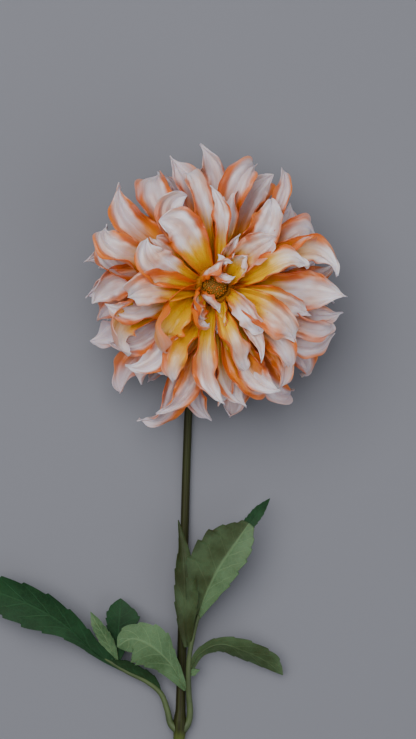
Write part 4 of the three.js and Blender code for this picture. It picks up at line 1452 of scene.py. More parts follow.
SHOWN_PETALS = (
    Petal(
        Ring.HEART, 205, 282, 15, 100, 8.5,
        height=60, fall=0, roll=20, flick=40, kick=0, calm=0.5, gold=0.42,
    ),
    Petal(Ring.HEART, 150, 80, 17, -45, 11, height=65, kick=-20, point=1, calm=0.6, gold=0.2),
    Petal(Ring.HEART, 102, 22, 12, -70, 9, height=63, roll=-20, flick=-40, kick=0, calm=0.5, gold=0.4),
    Petal(Ring.HEART, 74, 56, 16.5, -70, 7, height=67, kick=0, calm=0.4, gold=0.3),
    Petal(
        Ring.HEART, 32, 42, 23, 0, 22,
        height=67, fall=45, left=90, right=90, kick=30, point=0.5, calm=0.1, gold=1.05, rim=2,
    ),
    Petal(
        Ring.HEART, 214, 258, 24.5, 110, 15,
        height=64, roll=20, left=60, right=60, kick=20, calm=0.4, gold=0.32,
    ),
    Petal(
        Ring.HEART, 198, 248, 20.5, 100, 12,
        height=66, left=60, right=60, flick=60, kick=0, calm=0.2, gold=0.5,
    ),
    Petal(Ring.HEART, 294, 272, 27, -15, 10, height=58, calm=0.5, gold=0.95),
    Petal(Ring.HEART, 318, 308, 19, -40, 8, height=58.5, gold=0.6),
    Petal(
        Ring.HEART, 335, 313, 36.5, -42, 15,
        height=68, left=45, right=45, flick=-15, kick=-30, point=0.5, calm=0.1, gold=0.5, rim=0.3,
    ),
    Petal(
        Ring.INNER, 170, 147, 46, -50, 24,
        height=71, roll=10, left=45, right=30, kick=10, point=1.3, calm=0.15,
    ),
    Petal(Ring.INNER, 118, 131, 47, 40, 27, left=75, right=35, kick=20, point=0.9, calm=0.2),
    Petal(
        Ring.INNER, 46, 38, 44, -12, 22,
        height=64.5, roll=-10, left=60, right=70, kick=-20, calm=0.4, rim=0.5,
    ),
    Petal(Ring.INNER, 72, 64, 32, -10, 11, height=67, left=120, right=120, kick=0, calm=0.2, rim=0.5),
    Petal(Ring.INNER, 82, 92, 56, 20, 13, left=55, right=55),
    Petal(Ring.INNER, 6, 12, 53, -30, 18, height=64.5, roll=25, calm=0.18, gold=0.95),
    Petal(Ring.INNER, 350, 343, 56, -10, 19, height=58.5, right=60, calm=0.6, gold=0.75),
    Petal(Ring.INNER, 338, 326, 54, -20, 24, left=60, right=60, calm=0.12),
    Petal(Ring.INNER, 310, 300, 50, -25, 10, height=72, left=75, right=75, calm=0.6, rim=0.3),
    Petal(
        Ring.INNER, 198, 235, 47, 70, 29,
        height=64, roll=35, left=95, right=110, kick=0, calm=0.09, gold=0.95, rim=0.5,
    ),
    Petal(
        Ring.INNER, 188, 187, 49, 15, 24,
        height=69.5, fall=0, roll=10, left=60, right=60, point=1, calm=0.24, rim=0.7,
    ),
    Petal(
        Ring.INNER, 242, 232, 58, -40, 19,
        height=49.5, roll=-30, kick=25, point=0.9, calm=0.6, gold=0.6, rim=0.4,
    ),
    Petal(Ring.INNER, 260, 275, 66, 30, 17, height=63, left=55, gold=0.6),
    Petal(Ring.INNER, 24, 26, 48, 20, 17, height=56, gold=0.8),
    Petal(Ring.INNER, 282, 290, 52, 10, 17, height=56, gold=0.65),
    Petal(Ring.INNER, 222, 218, 36, -20, 13, height=50),
    Petal(Ring.MIDDLE, 126, 110, 53, -75, 21, height=59, left=60, point=0.8, calm=0.24, rim=0.6),
    Petal(Ring.MIDDLE, 96, 104, 66, 25, 15, calm=1),
    Petal(Ring.MIDDLE, 44, 56, 58, 25, 23, height=59, right=55, point=1.1, calm=0.4),
    Petal(Ring.MIDDLE, 30, 6, 68, -55, 20, roll=20, left=40, calm=0.5, gold=0.9),
    Petal(Ring.MIDDLE, 3, 355, 74, -5, 25, height=59, left=35, right=30, point=1.7, calm=0.2),
    Petal(
        Ring.MIDDLE, 198, 216, 63, 75, 26,
        height=53, roll=40, left=100, right=100, kick=10, calm=0.4, gold=0.9, rim=0.5,
    ),
    Petal(Ring.MIDDLE, 197, 190, 63, -30, 18, height=57.5),
    Petal(Ring.MIDDLE, 162, 153, 71, -40, 24, left=55, point=1.8),
    Petal(Ring.MIDDLE, 228, 222, 67, -45, 18, height=54.5, roll=-25, calm=0.3),
    Petal(Ring.MIDDLE, 278, 285, 70, 25, 19, height=50, right=55, gold=0.8),
    Petal(Ring.MIDDLE, 296, 302, 69, 35, 19, roll=15, kick=30, point=1.2, gold=0.75),
    Petal(Ring.MIDDLE, 316, 312, 64, -25, 18, height=54.5),
    Petal(Ring.MIDDLE, 142, 143, 47, 10, 15, height=52),
    Petal(Ring.MIDDLE, 80, 79, 62, -15, 17, height=51.5),
    Petal(Ring.MIDDLE, 246, 246, 60, 20, 17, height=62, gold=0.9),
    Petal(Ring.OUTER, 82, 72, 73, -30, 21, height=52, left=60, calm=0.6),
    Petal(Ring.OUTER, 66, 62, 71, -25, 21, height=50, kick=30, point=1, calm=0.6),
    Petal(Ring.OUTER, 42, 60, 78, 34, 14, height=48, right=60, point=1.8, calm=0.5),
    Petal(Ring.OUTER, 26, 27, 64, -35, 23, height=47, left=60, kick=-60, point=0.8, calm=0.6),
    Petal(Ring.OUTER, 352, 348.5, 75, 20, 18, rim=0.6),
    Petal(Ring.OUTER, 335, 341.5, 71, 30, 17, height=48, rim=0.6),
    Petal(Ring.OUTER, 322, 337, 73, 45, 18, left=55),
    Petal(Ring.OUTER, 312, 303, 69, -45, 17, height=50, gold=0.9),
    Petal(Ring.OUTER, 286, 297, 66, 35, 23, right=55, calm=0.6, gold=0.85),
    Petal(Ring.OUTER, 273, 272, 68, -20, 17, height=40, gold=0.85),
    Petal(Ring.OUTER, 256, 245, 79, -30, 17, height=46, left=55),
    Petal(Ring.OUTER, 176, 188, 70, 30, 23, height=52, left=55, kick=20, point=1),
    Petal(Ring.OUTER, 170, 157, 71, -50, 17),
    Petal(Ring.OUTER, 144, 134, 79, -35, 23, height=51, left=55, kick=-15, point=2.1, calm=0.5),
    Petal(Ring.OUTER, 127, 118, 73, -30, 24, height=37, right=60, point=1, calm=0.5),
    Petal(Ring.OUTER, 103, 109, 78, 14, 20, height=48, right=40, calm=0.6, rim=0.7),
    Petal(Ring.OUTER, 86, 96.5, 80, 30, 21, height=48, right=55, rim=0.6),
    Petal(Ring.OUTER, 236, 233, 70, 25, 19, height=38.5, point=0.9, gold=0.85),
    Petal(Ring.OUTER, 212, 208, 68, -30, 21, height=46, kick=0, calm=0.3),
    Petal(Ring.OUTER, 8, 12, 70, 30, 17),
    Petal(Ring.BACK, 114, 114, 71, 20, 17),
    Petal(Ring.BACK, 163, 169, 76, 30, 17),
    Petal(Ring.BACK, 178, 184, 75, 20, 17),
    Petal(Ring.BACK, 212, 203, 79, -10, 24, point=0.9),
    Petal(Ring.BACK, 226, 228, 81, 30, 19, point=0.8),
    Petal(Ring.BACK, 247, 241, 88, -45, 17),
    Petal(Ring.BACK, 258, 268, 77, 35, 17),
    Petal(Ring.BACK, 285, 276, 74, -20, 21, point=0.8),
    Petal(Ring.BACK, 300, 306, 75, 35, 17),
    Petal(Ring.BACK, 322, 316, 72, -35, 17),
    Petal(Ring.BACK, 338, 334, 68, 20, 17),
    Petal(Ring.BACK, 350, 353, 70, -20, 17),
    Petal(Ring.BACK, 30, 20, 68, -30, 17),
    Petal(Ring.BACK, 50, 48, 66, 25, 17),
    Petal(Ring.BACK, 70, 79, 72, 25, 17),
    Petal(Ring.BACK, 96, 90, 72, -25, 17),
    Petal(Ring.BACK, 142, 147, 70, 30, 17),
    Petal(Ring.BACK, 192, 195, 70, 20, 17),
)


@dataclass(frozen=True)
class Whorl:
    """A ring of hidden petals: how many, how far they reach and how wide they are."""

    ring: Ring
    count: int
    reach: float
    width: float


@dataclass
class Bloom:
    """All the ray petals.

    Args:
        origin: the bloom's axis on the table.
        whorls: the rings of hidden petals.
        reach_spread, hook_spread, roll_spread, lean_spread: how much hidden petals differ in their reach,
            hook, roll and lean to one side.
        stem_azimuth: where the stem leaves.
        stem_gap: how far to either side of it hidden petals are kept up.
        stem_height: how high their tips are kept.
        rim_strengths: how strongly margins are edged where that is left to chance.
        gold_reaches: how far the yellow reaches up a petal in the heart and at the back.
        columns, rows: faces across and along a petal.
    """

    origin: np.ndarray
    whorls: tuple[Whorl, ...] = (Whorl(Ring.UNDER, 17, 66, 15), Whorl(Ring.LOWEST, 13, 50, 14))
    reach_spread: float = 8
    hook_spread: float = 50
    roll_spread: float = 30
    lean_spread: float = 16
    stem_azimuth: float = 255
    stem_gap: float = 22
    stem_height: float = 14
    rim_strengths: Range = (0.75, 1.5)
    gold_reaches: Range = (0.53, 0.7)
    columns: int = 18
    rows: int = 52

    def hidden(self) -> list[Petal]:
        """The petals behind, set out round the head, with those over the stem kept above it.

        Returns:
            The petals, ring by ring.
        """
        draw = seeded_draw(SEED)
        petals, azimuth = [], 20.0
        for whorl in self.whorls:
            for _ in range(whorl.count):
                azimuth = (azimuth + 360 / whorl.count) % 360
                to = azimuth + spread(draw, self.lean_spread)
                reach = whorl.reach + spread(draw, self.reach_spread)
                hook = spread(draw, self.hook_spread)
                roll = spread(draw, self.roll_spread)
                height = self.stem_height if abs(to - self.stem_azimuth) < self.stem_gap else None
                petals.append(Petal(whorl.ring, azimuth, to, reach, hook, whorl.width, height, roll=roll))
            azimuth += GOLDEN_ANGLE
        return petals

    def colour(self, blade: bpy.types.Object, petal: Petal, chance: Callable[[], float]) -> None:
        """Writes on a petal what its finish reads from it.

        Args:
            blade: the petal's blade.
            petal: the petal.
            chance: the draw for its tint and, where it isn't given, for its rim.
        """
        shade = petal.ring.value.shade
        Workshop.mark(blade, PETAL_TINT, chance())
        Workshop.mark(blade, PETAL_RING, shade)
        rim = mix(*self.rim_strengths, chance()) if petal.rim is None else petal.rim
        Workshop.mark(blade, PETAL_RIM, rim)
        gold = mix(*self.gold_reaches, shade) if petal.gold is None else petal.gold
        Workshop.mark(blade, PETAL_GOLD, gold)

    def build(self, face: bpy.types.Material, back: bpy.types.Material) -> None:
        """Makes the petals ring by ring, one piece to a ring.

        Args:
            face: material of the side that looks towards the bloom's axis.
            back: material of the other side.
        """
        chance = seeded_draw(SEED + 7)
        waves = seeded_draw(SEED + 1)
        petals = [(petal, Ruffle.drawn(waves)) for petal in (*SHOWN_PETALS, *self.hidden())]
        blank = Workshop.blank("petal_blank", self.columns, self.rows)
        s, t = Workshop.places(blank)
        for ring in Ring:
            made = []
            for petal, ruffle in petals:
                if petal.ring is not ring:
                    continue
                blade = Workshop.copy(blank, f"petal_{ring.name.lower()}")
                Workshop.place(blade, petal.places(s, t, ruffle) + self.origin)
                self.colour(blade, petal, chance)
                made.append(blade)
            piece = Workshop.shell(made, f"petals_{ring.name.lower()}", (face, back), PETAL_WALL)
            Workshop.settle(piece, "petal", "petals")
        bpy.data.objects.remove(blank)


@dataclass
class Head:
    """The fleshy head that the petals grow from, ribbed where they leave it.

    Args:
        origin: the bloom's axis on the table.
        side: its profile, as radii and heights.
        ribs: ribs round it.
        rib_depth: how far they stand out.
        edge_waves: how far they raise and lower the rim round the disc.
    """

    origin: np.ndarray
    side: tuple[tuple[float, float], ...] = (
        (0, 24),
        (11, 24),
        (17, 26.5),
        (20, 30),
        (19, 35),
        (15.5, 42.5),
        (11, 52.2),
        (9, 54),
        (7.6, 52.9),
        (7.1, 50.9),
        (0, 50.8),
    )
    ribs: int = 34
    rib_depth: float = 0.35
    edge_waves: float = 0.25

    def build(self, material: bpy.types.Material) -> None:
        """Wraps a sheet round the head's profile.

        Args:
            material: the head's material.
        """
        head = Workshop.blank("head_flesh", 136, 60)
        s, t = Workshop.places(head)
        shares = np.linspace(0, 1, len(self.side))
        radius = np.interp(t, shares, [r for r, _ in self.side])
        height = np.interp(t, shares, [z for _, z in self.side])
        turn = (s + 1) * math.pi
        radius = radius + self.rib_depth * np.cos(turn * self.ribs) * np.clip(radius / 12, 0, 1)
        height = height + self.edge_waves * np.sin(turn * self.ribs / 2) * smoothstep(t, 0.6, 0.75)
        round_axis = np.stack([radius * np.cos(turn), radius * np.sin(turn), height], axis=1)
        Workshop.place(head, round_axis + self.origin)
        Workshop.weld(head, close=True)
        Workshop.smooth(head)
        Workshop.dress(head, material)
        Workshop.settle(head, "petal", "petals")


@dataclass
class Disc:
    """The disc of florets in the middle of the bloom.

    Args:
        origin: the bloom's axis on the table.
        radius: the disc's radius.
        base: height of its rim.
        flatness: how high the dome is, as a share of its radius.
        dome_open: how open the florets count that the dome itself stands for.
        florets: florets set on it.
        bud_radii: a floret bud's radius at its foot and at its tip.
        bud_height: its height.
        bud_bevel: how far its edges are rounded.
        inset: how far the outermost buds stand inside the disc's rim.
        bud_lift: how high a bud's middle is above the base in the middle of the disc.
        bud_drop: how much lower it is at the rim.
        bud_chance: how much higher some stand.
        lean: how far buds at the rim lean outwards.
        opening: how open a bud may be in the middle, and how much more at the rim.
    """

    origin: np.ndarray
    radius: float = 7.0
    base: float = 50.6
    flatness: float = 0.7
    dome_open: float = 0.3
    florets: int = 84
    bud_radii: Range = (0.72, 0.36)
    bud_height: float = 3.0
    bud_bevel: float = 0.12
    inset: float = 0.7
    bud_lift: float = 4.4
    bud_drop: float = 2.4
    bud_chance: float = 0.5
    lean: float = 0.35
    opening: Range = (0.45, 0.85)

    def dome(self) -> bpy.types.Object:
        """Makes the low dome that the buds are set on.

        Returns:
            The dome.
        """
        Workshop.clear_selection()
        bpy.ops.mesh.primitive_uv_sphere_add(segments=32, ring_count=16, radius=self.radius * MM)
        dome = bpy.context.active_object
        co = np.array([v.co for v in dome.data.vertices]) / MM
        co[:, 2] = self.base + np.maximum(co[:, 2], 0) * self.flatness
        Workshop.place(dome, co + self.origin)
        Workshop.mark(dome, FLORET_OPEN, self.dome_open)
        return dome

    def bud(self) -> bpy.types.Object:
        """Makes one floret bud to copy: a short cone with soft edges.

        Returns:
            The bud.
        """
        Workshop.clear_selection()
        foot, tip = (radius * MM for radius in self.bud_radii)
        bpy.ops.mesh.primitive_cone_add(vertices=8, radius1=foot, radius2=tip, depth=self.bud_height * MM)
        bud = bpy.context.active_object
        bpy.ops.object.mode_set(mode="EDIT")
        bpy.ops.mesh.select_all(action="SELECT")
        bpy.ops.mesh.bevel(offset=self.bud_bevel * MM, segments=2, affect="EDGES")
        bpy.ops.object.mode_set(mode="OBJECT")
        return bud

    def build(self, material: bpy.types.Material) -> None:
        """Makes the dome and sets it with floret buds in a golden-angle spiral.

        Args:
            material: the disc's material.
        """
        made = [self.dome()]
        bud = self.bud()
        shape = np.array([v.co for v in bud.data.vertices]) / MM
        chance = seeded_draw(SEED + 3)
        for i in range(self.florets):
            share = math.sqrt((i + 0.5) / self.florets)
            azimuth = i * GOLDEN_ANGLE
            height = self.base + self.bud_lift - self.bud_drop * share**2.5 + self.bud_chance * chance()
            foot = polar(share * (self.radius - self.inset), azimuth, height)
            floret = Workshop.copy(bud, "floret")
            bent = shape + np.outer(shape[:, 2] * (share * self.lean), direction(azimuth))
            Workshop.place(floret, bent + foot + self.origin)
            Workshop.mark(floret, FLORET_OPEN, chance() * (self.opening[0] + self.opening[1] * share))
            made.append(floret)
        bpy.data.objects.remove(bud)
        piece = Workshop.join(made, "disc_buds")
        Workshop.smooth(piece)
        Workshop.dress(piece, material)
        Workshop.settle(piece, "disc", "disc_florets")


@dataclass(frozen=True)
class BractWhorl:
    """A ring of bracts on the cup.

    Args:
        count: bracts in the ring.
        root_radius: distance of the roots from the axis.
        root_height: height of the roots.
        rise: angle at which bracts leave the cup.
        reach: distance of the tips from the axis.
        tip_height: height of the tips.
        fall: angle at which the tips point.
        width: a bract's greatest width.
        turn: azimuth of the first one.
    """

    count: int
    root_radius: float
    root_height: float
    rise: float
    reach: float
    tip_height: float
    fall: float
    width: float
    turn: float


@dataclass
class Calyx:
    """The green cup under the head, with its bracts.

    Args:
        origin: the bloom's axis on the table.
        cup_heights: heights that the cup's middle line goes through.
        cup_shares: shares of that line at which its radius is given.
        cup_radii: the radii there.
        whorls: the rings of bracts.
        pull: how long a bract keeps its first and its last direction, as a share of its length.
        curl: how far its margins curl up, in radians.
        rib_height: height of its lengthwise ribs.
    """

    origin: np.ndarray
    cup_heights: tuple[float, ...] = (19.0, 20.4, 22.2, 23.65)
    cup_shares: tuple[float, ...] = (0, 0.3, 0.65, 1)
    cup_radii: tuple[float, ...] = (4.5, 8.5, 10.3, 10.5)
    whorls: tuple[BractWhorl, ...] = (
        BractWhorl(6, 6, 20.3, -12, 23, 13.5, -30, 8, 0),
        BractWhorl(8, 7, 22, 10, 21, 21, -8, 11, 22),
    )
    pull: float = 0.4
    curl: float = 0.3
    rib_height: float = 0.12

    def bract(self, whorl: BractWhorl, azimuth: float, blank: bpy.types.Object) -> bpy.types.Object:
        """One bract, bent out of a copy of the blank.

        Args:
            whorl: the ring that it belongs to.
            azimuth: where it grows.
            blank: flat sheet to copy.

        Returns:
            The bract's blade.
        """
        start = polar(whorl.root_radius, azimuth, whorl.root_height)
        tip = polar(whorl.reach, azimuth, whorl.tip_height)
        chord = float(np.linalg.norm(tip - start))
        near = start + direction(azimuth, whorl.rise) * chord * self.pull
        far = tip - direction(azimuth, whorl.fall) * chord * self.pull
        spine = Spine(bezier([start, near, far, tip]), direction(azimuth - 90))
        s, t = Workshop.places(blank)
        half = whorl.width / 2 * np.sqrt(np.clip(1 - t * t, 0, 1))
        curl = np.full(len(t), self.curl)
        piece = Workshop.copy(blank, "bract")
        ribs = self.rib_height * np.cos(s * math.pi * 4)
        Workshop.place(piece, bend_blade(spine, s, t, half, (curl, curl), 0 * t, ribs) + self.origin)
        return piece

    def cup_radius(self, t: np.ndarray) -> np.ndarray:
        """The cup's radius at shares along its middle line."""
        return np.interp(t, self.cup_shares, self.cup_radii)

    def bracts(self, material: bpy.types.Material) -> None:
        """Makes the rings of bracts as one piece.

        Args:
            material: the bracts' material.
        """
        blank = Workshop.blank("bract_blank", 10, 18)
        made = []
        for whorl in self.whorls:
            for i in range(whorl.count):
                made.append(self.bract(whorl, i / whorl.count * 360 + whorl.turn, blank))
        bpy.data.objects.remove(blank)
        bracts = Workshop.shell(made, "bracts", (material, material), BRACT_WALL)
        Workshop.settle(bracts, "calyx", "calyx")

    def cup(self, material: bpy.types.Material) -> None:
        """Makes the cup as a short tube that widens upwards.

        Args:
            material: the cup's material.
        """
        line = [(self.origin[0], self.origin[1], height) for height in self.cup_heights]
        cup = Workshop.tube("cup", line, self.cup_radius, 32, 16, material)
        Workshop.settle(cup, "calyx", "calyx")

    def build(self, material: bpy.types.Material) -> None:
        """Makes the bracts and the cup."""
        self.bracts(material)
        self.cup(material)


@dataclass
class Stem:
    """The stem, from its cut end over the swollen node to the neck under the cup.

    Args:
        origin: the bloom's axis on the table.
        line: points along its middle, each with its radius there.
    """

    origin: np.ndarray
    line: tuple[tuple[Point, float], ...] = (
        ((-22.4, -297.8, 3.3), 3.1),
        ((-21.4, -270, 3.3), 3.2),
        ((-20.8, -261, 3.9), 3.9),
        ((-20.7, -256.5, 3.9), 3.9),
        ((-20.4, -250, 3.2), 2.9),
        ((-18.4, -161, 2.6), 2.5),
        ((-16.5, -95, 2.5), 2.4),
        ((-15.0, -66, 2.5), 2.4),
        ((-10.5, -40, 2.7), 2.45),
        ((-5.4, -20, 4.2), 2.5),
        ((-2.2, -8, 7.4), 2.6),
        ((-0.5, -1.8, 12.2), 2.8),
        ((0, 0, 16.65), 3),
        ((0, 0, 18.65), 3.2),
    )

    def build(self, material: bpy.types.Material) -> None:
        """Makes the stem as one tapering tube.

        Args:
            material: the stem's material.
        """
        points = [np.array(at) + self.origin for at, _ in self.line]
        radii = [radius for _, radius in self.line]
        shares = np.linspace(0, 1, len(radii))
        stem = Workshop.tube("stem_skin", points, lambda t: np.interp(t, shares, radii), 24, 180, material)
        Workshop.settle(stem, "stem", "stem")


@dataclass(frozen=True)
class Leaflet:
    """One leaflet.

    Args:
        line: points along its midrib.
        stations: shares of the line, each with the widths left and right of it and the turn about it.
        fold: how far its margins curl up, in degrees.
        turned: whether its underside is up.
        shade: how far painted shade darkens and browns it, 0 to 1.
        half: how far painted shade darkens and browns the half left of its midrib, which faces away from the
            light.
        teeth: teeth on each margin.
        tooth_depth: depth of a tooth as a share of the width.
        tooth_shift: how much farther on the teeth of the right margin are, as a share of a tooth.
        tip_width: width on each side at the very tip.
        vein_height: height of the relief between the veins as a share of the width.
        rib_height: height of the midrib, which is sunk in the upper side and raised on the underside.
    """

    line: tuple[Point, ...]
    stations: tuple[tuple[float, float, float, float], ...]
    fold: float
    turned: bool = False
    shade: float = 0.0
    half: float = 0.0
    teeth: int = 8
    tooth_depth: float = 0.12
    tooth_shift: float = 0.45
    tip_width: float = 0.1
    vein_height: float = 0.025
    rib_height: float = 0.5

    def margins(self, s: np.ndarray, t: np.ndarray) -> tuple[np.ndarray, np.ndarray]:
        """The width on each vertex's side of the midrib, with teeth that point forward, and the turn there.

        Args:
            s: place across, -1 to 1.
            t: place along, 0 to 1.

        Returns:
            Widths in millimetres and turns in radians.
        """
        table = np.array([*self.stations, (1.0, self.tip_width, self.tip_width, self.stations[-1][3])])
        left, right, tilt = (flowing(t, table[:, 0], table[:, k]) for k in (1, 2, 3))
        width = np.where(s < 0, left, right)
        phase = (t * self.teeth + np.where(s < 0, 0.0, self.tooth_shift)) % 1
        toothed = smoothstep(t, 0.12, 0.3) * (1 - smoothstep(t, 0.9, 0.98))
        return width * (1 - self.tooth_depth * (1 - phase) * toothed), np.radians(tilt)

    def build(self, name: str, blank: bpy.types.Object, origin: np.ndarray) -> bpy.types.Object:
        """Bends the leaflet out of a copy of the blank.

        Args:
            name: the piece's name.
            blank: flat sheet to copy.
            origin: the bloom's axis on the table.

        Returns:
            The leaflet's blade.
        """
        s, t = Workshop.places(blank)
        curve = spline(self.line)
        spine = Spine(curve, side_at_start(curve), steps=2 * SPINE_STEPS)
        width, tilt = self.margins(s, t)
        fold = np.full(len(t), math.radians(self.fold))
        between = self.vein_height * width * np.sin(t * self.teeth * math.tau) * s**2 * (1 - s**2)
        rib = self.rib_height if self.turned else -self.rib_height
        midrib = rib * np.exp(-((s / 0.05) ** 2)) * (1 - t)
        piece = Workshop.copy(blank, f"{name}_blade")
        Workshop.place(piece, bend_blade(spine, s, t, width, (fold, fold), tilt, between + midrib) + origin)
        Workshop.mark(piece, LEAF_SHADE, self.shade)
        Workshop.mark(piece, LEAF_HALF_SHADE, self.half)
        return piece


@dataclass(frozen=True)
class CompoundLeaf:
    """A compound leaf: its rachis, thick at the stem and thin at its end, and its leaflets.

    Args:
        name: the solid that it stands for.
        slot: the material slot that the record gives it.
        rachis: points along the rachis.
        radii: its radius at the stem and at its end.
        leaflets: its leaflets.
        clasp: how much thicker it is where it clasps the stem, as a share of its radius there.
    """

    name: str
    slot: str
    rachis: tuple[Point, ...]
    radii: Range
    leaflets: tuple[Leaflet, ...]
    clasp: float = 0.35

    def build(self, origin: np.ndarray, face: bpy.types.Material, back: bpy.types.Material) -> None:
        """Makes the leaflets, the ones with their face up and the ones with their underside up.

        Args:
            origin: the bloom's axis on the table.
            face: material of the leaflets' upper sides.
            back: material of their undersides.
        """
        blank = Workshop.blank("leaflet_blank", 28, 120)
        for turned, sides in ((False, (face, back)), (True, (back, face))):
            shown = [leaflet for leaflet in self.leaflets if leaflet.turned is turned]
            made = [leaflet.build(self.name, blank, origin) for leaflet in shown]
            if not made:
                continue
            name = f"{self.name}_{'undersides' if turned else 'faces'}"
            blades = Workshop.shell(made, name, sides, LEAF_WALL, BLADE_ANGLE)
            Workshop.settle(blades, self.slot, self.name)
        bpy.data.objects.remove(blank)

    def radius(self, t: np.ndarray) -> np.ndarray:
        """The rachis's radius at shares along it."""
        return mix(*self.radii, t) + self.clasp * self.radii[0] * (1 - smoothstep(t, 0, 0.2))

    def build_rachis(self, origin: np.ndarray, stalk: bpy.types.Material) -> None:
        """Makes the rachis as a tapering tube that swells where it clasps the stem.

        Args:
            origin: the bloom's axis on the table.
            stalk: its material.
        """
        points = [np.array(at) + origin for at in self.rachis]
        rachis = Workshop.tube(f"{self.name}_rachis", points, self.radius, 14, 80, stalk)
        Workshop.settle(rachis, self.slot, self.name)


RIGHT_LEAF = CompoundLeaf(
    "leaf_right",
    "leaf_underside",
    (
        (-19, -261.5, 3.9), (-16.1, -258.2, 4.3), (-14.7, -252.1, 4.8), (-15.3, -242, 6),
        (-15.7, -229.8, 8.2), (-15.1, -217.7, 9.8), (-12.3, -202.6, 11.5), (-9.7, -192.6, 13),
    ),
    (2.1, 1.2),
    (
        Leaflet(
            (
                (-10.3, -194.6, 12.5), (-4.4, -178.3, 17), (3, -163.3, 20), (10.9, -151.5, 21),
                (16.5, -143.2, 20.5), (20, -137.8, 19.5),
            ),
            (
                (0, 1.5, 1.5, 0), (0.08, 8, 4, 0), (0.22, 15, 8.5, 0), (0.38, 21.5, 12, 0),
                (0.56, 20.5, 12, 0), (0.74, 13.5, 9.5, 0), (0.9, 6.5, 5.5, 0), (0.98, 4.2, 3.9, 0),
            ),
            fold=30,
            turned=True,
            shade=0.18,
            half=0.75,
        ),
        Leaflet(
            (
                (-16.2, -211.7, 10), (-17.4, -197.3, 14), (-17.3, -181.3, 17), (-17.9, -165.5, 18),
                (-18.9, -151.9, 17), (-21.5, -136.3, 15),
            ),
            (
                (0, 2, 2, 0), (0.2, 5, 6, 0), (0.4, 7.4, 8.6, 0), (0.6, 6.4, 7, 0), (0.8, 2.8, 3.6, 0),
                (0.92, 1.2, 1.5, 0),
            ),
            fold=45,
            turned=True,
            shade=1.0,
        ),
        Leaflet(
            (
                (-15.5, -228.8, 7.5), (-8.7, -215.3, 12), (3.1, -209.3, 16), (16.8, -213.3, 15),
                (30.8, -220.7, 10), (40.5, -229.1, 5),
            ),
            (
                (0, 1.2, 1.2, 0), (0.2, 3, 3, -10), (0.4, 5, 8, -20), (0.6, 8.6, 8.8, -20),
                (0.8, 8, 6, -15), (0.92, 4.2, 2.6, -10),
            ),
            fold=-20,
            turned=True,
            shade=0.75,
        ),
        Leaflet(
            (
                (-17.1, -237.8, 7), (-26.4, -220.9, 14), (-38, -209.3, 20), (-48.8, -205.3, 21.5),
                (-57.4, -210.3, 19.5),
            ),
            ((0, 1.2, 1.2, 0), (0.25, 9.5, 5.5, 0), (0.5, 16.5, 13, 0), (0.75, 14.5, 9, 0), (0.9, 9, 5, 0)),
            fold=-16,
            turned=True,
            half=0.15,
        ),
        Leaflet(
            ((-15.5, -229, 7.5), (-13.1, -226.7, 8.5), (-8.7, -225.6, 9)),
            ((0, 0.8, 0.8, 0), (0.5, 2, 3, 0)),
            fold=15,
            turned=True,
        ),
        Leaflet(
            ((17.2, -141.5, 19.2), (20.6, -137.6, 18.7), (26, -131, 17), (32.6, -123.7, 13)),
            ((0, 2.4, 2.4, 0), (0.3, 4, 4, 0), (0.62, 3.7, 3.7, 0), (0.85, 1.9, 1.9, 0)),
            fold=15,
        ),
    ),
)
LEFT_LEAF = CompoundLeaf(
    "leaf_left",
    "leaf",
    (
        (-22, -262, 3.9), (-26.2, -258, 4.3), (-28.2, -250.1, 4.8), (-32.1, -240.1, 5.2), (-40.4, -233, 6),
        (-52.3, -226.9, 7.2), (-68, -216.7, 9.5), (-77.7, -209.6, 11.5),
    ),
    (2.1, 0.9),
    (
        Leaflet(
            (
                (-52.3, -227.3, 7), (-70.8, -215.7, 11), (-87.2, -199.3, 15), (-106.6, -187.3, 17),
                (-126.5, -179.8, 14), (-141, -176.6, 8),
            ),
            (
                (0, 0.8, 1.5, 0), (0.2, 1.8, 6.5, 0), (0.4, 8, 9.5, 5), (0.6, 14, 12, 8),
                (0.8, 12.6, 11, 8), (0.93, 6, 6, 8),
            ),
            fold=16,
        ),
        Leaflet(
            ((-57.7, -221.7, 8.5), (-64.1, -207, 11.5), (-69.5, -197.8, 13.5), (-73.4, -190.7, 13)),
            ((0, 1, 1, 0), (0.33, 5, 5, 20), (0.67, 3.8, 3.8, 20)),
            fold=25,
            turned=True,
        ),
        Leaflet(
            ((-57.7, -221.7, 7.8), (-57.6, -205.5, 10.5), (-56.4, -193.7, 10.5), (-55.8, -183.3, 7.5)),
            ((0, 1, 1, 0), (0.33, 5.5, 8.5, 0), (0.67, 8.4, 12.6, 0), (0.87, 5.5, 6, 0)),
            fold=15,
        ),
        Leaflet(
            ((-31.5, -241.5, 5), (-40, -232.6, 6.5), (-52, -226.5, 8), (-62, -219.5, 9.5)),
            ((0, 0.8, 0.8, 0), (0.35, 1, 6, 10), (0.7, 1, 7, 10)),
            fold=15,
            shade=0.4,
        ),
    ),
)


@dataclass(frozen=True)
class Lamp:
    """A soft square lamp that looks at the origin.

    Args:
        name: the lamp's name.
        at: where it hangs, in metres.
        size: its side, in metres.
        watts: its power.
        colour: its colour.
    """

    name: str
    at: Point
    size: float
    watts: float
    colour: Point

    def hang(self) -> None:
        """Hangs the lamp."""
        light = bpy.data.lights.new(self.name, "AREA")
        light.size = self.size
        light.energy = self.watts
        light.color = self.colour
        lamp = bpy.data.objects.new(self.name, light)
        lamp.location = self.at
        lamp.rotation_euler = (-Vector(self.at)).to_track_quat("-Z", "Y").to_euler()
        bpy.context.scene.collection.objects.link(lamp)


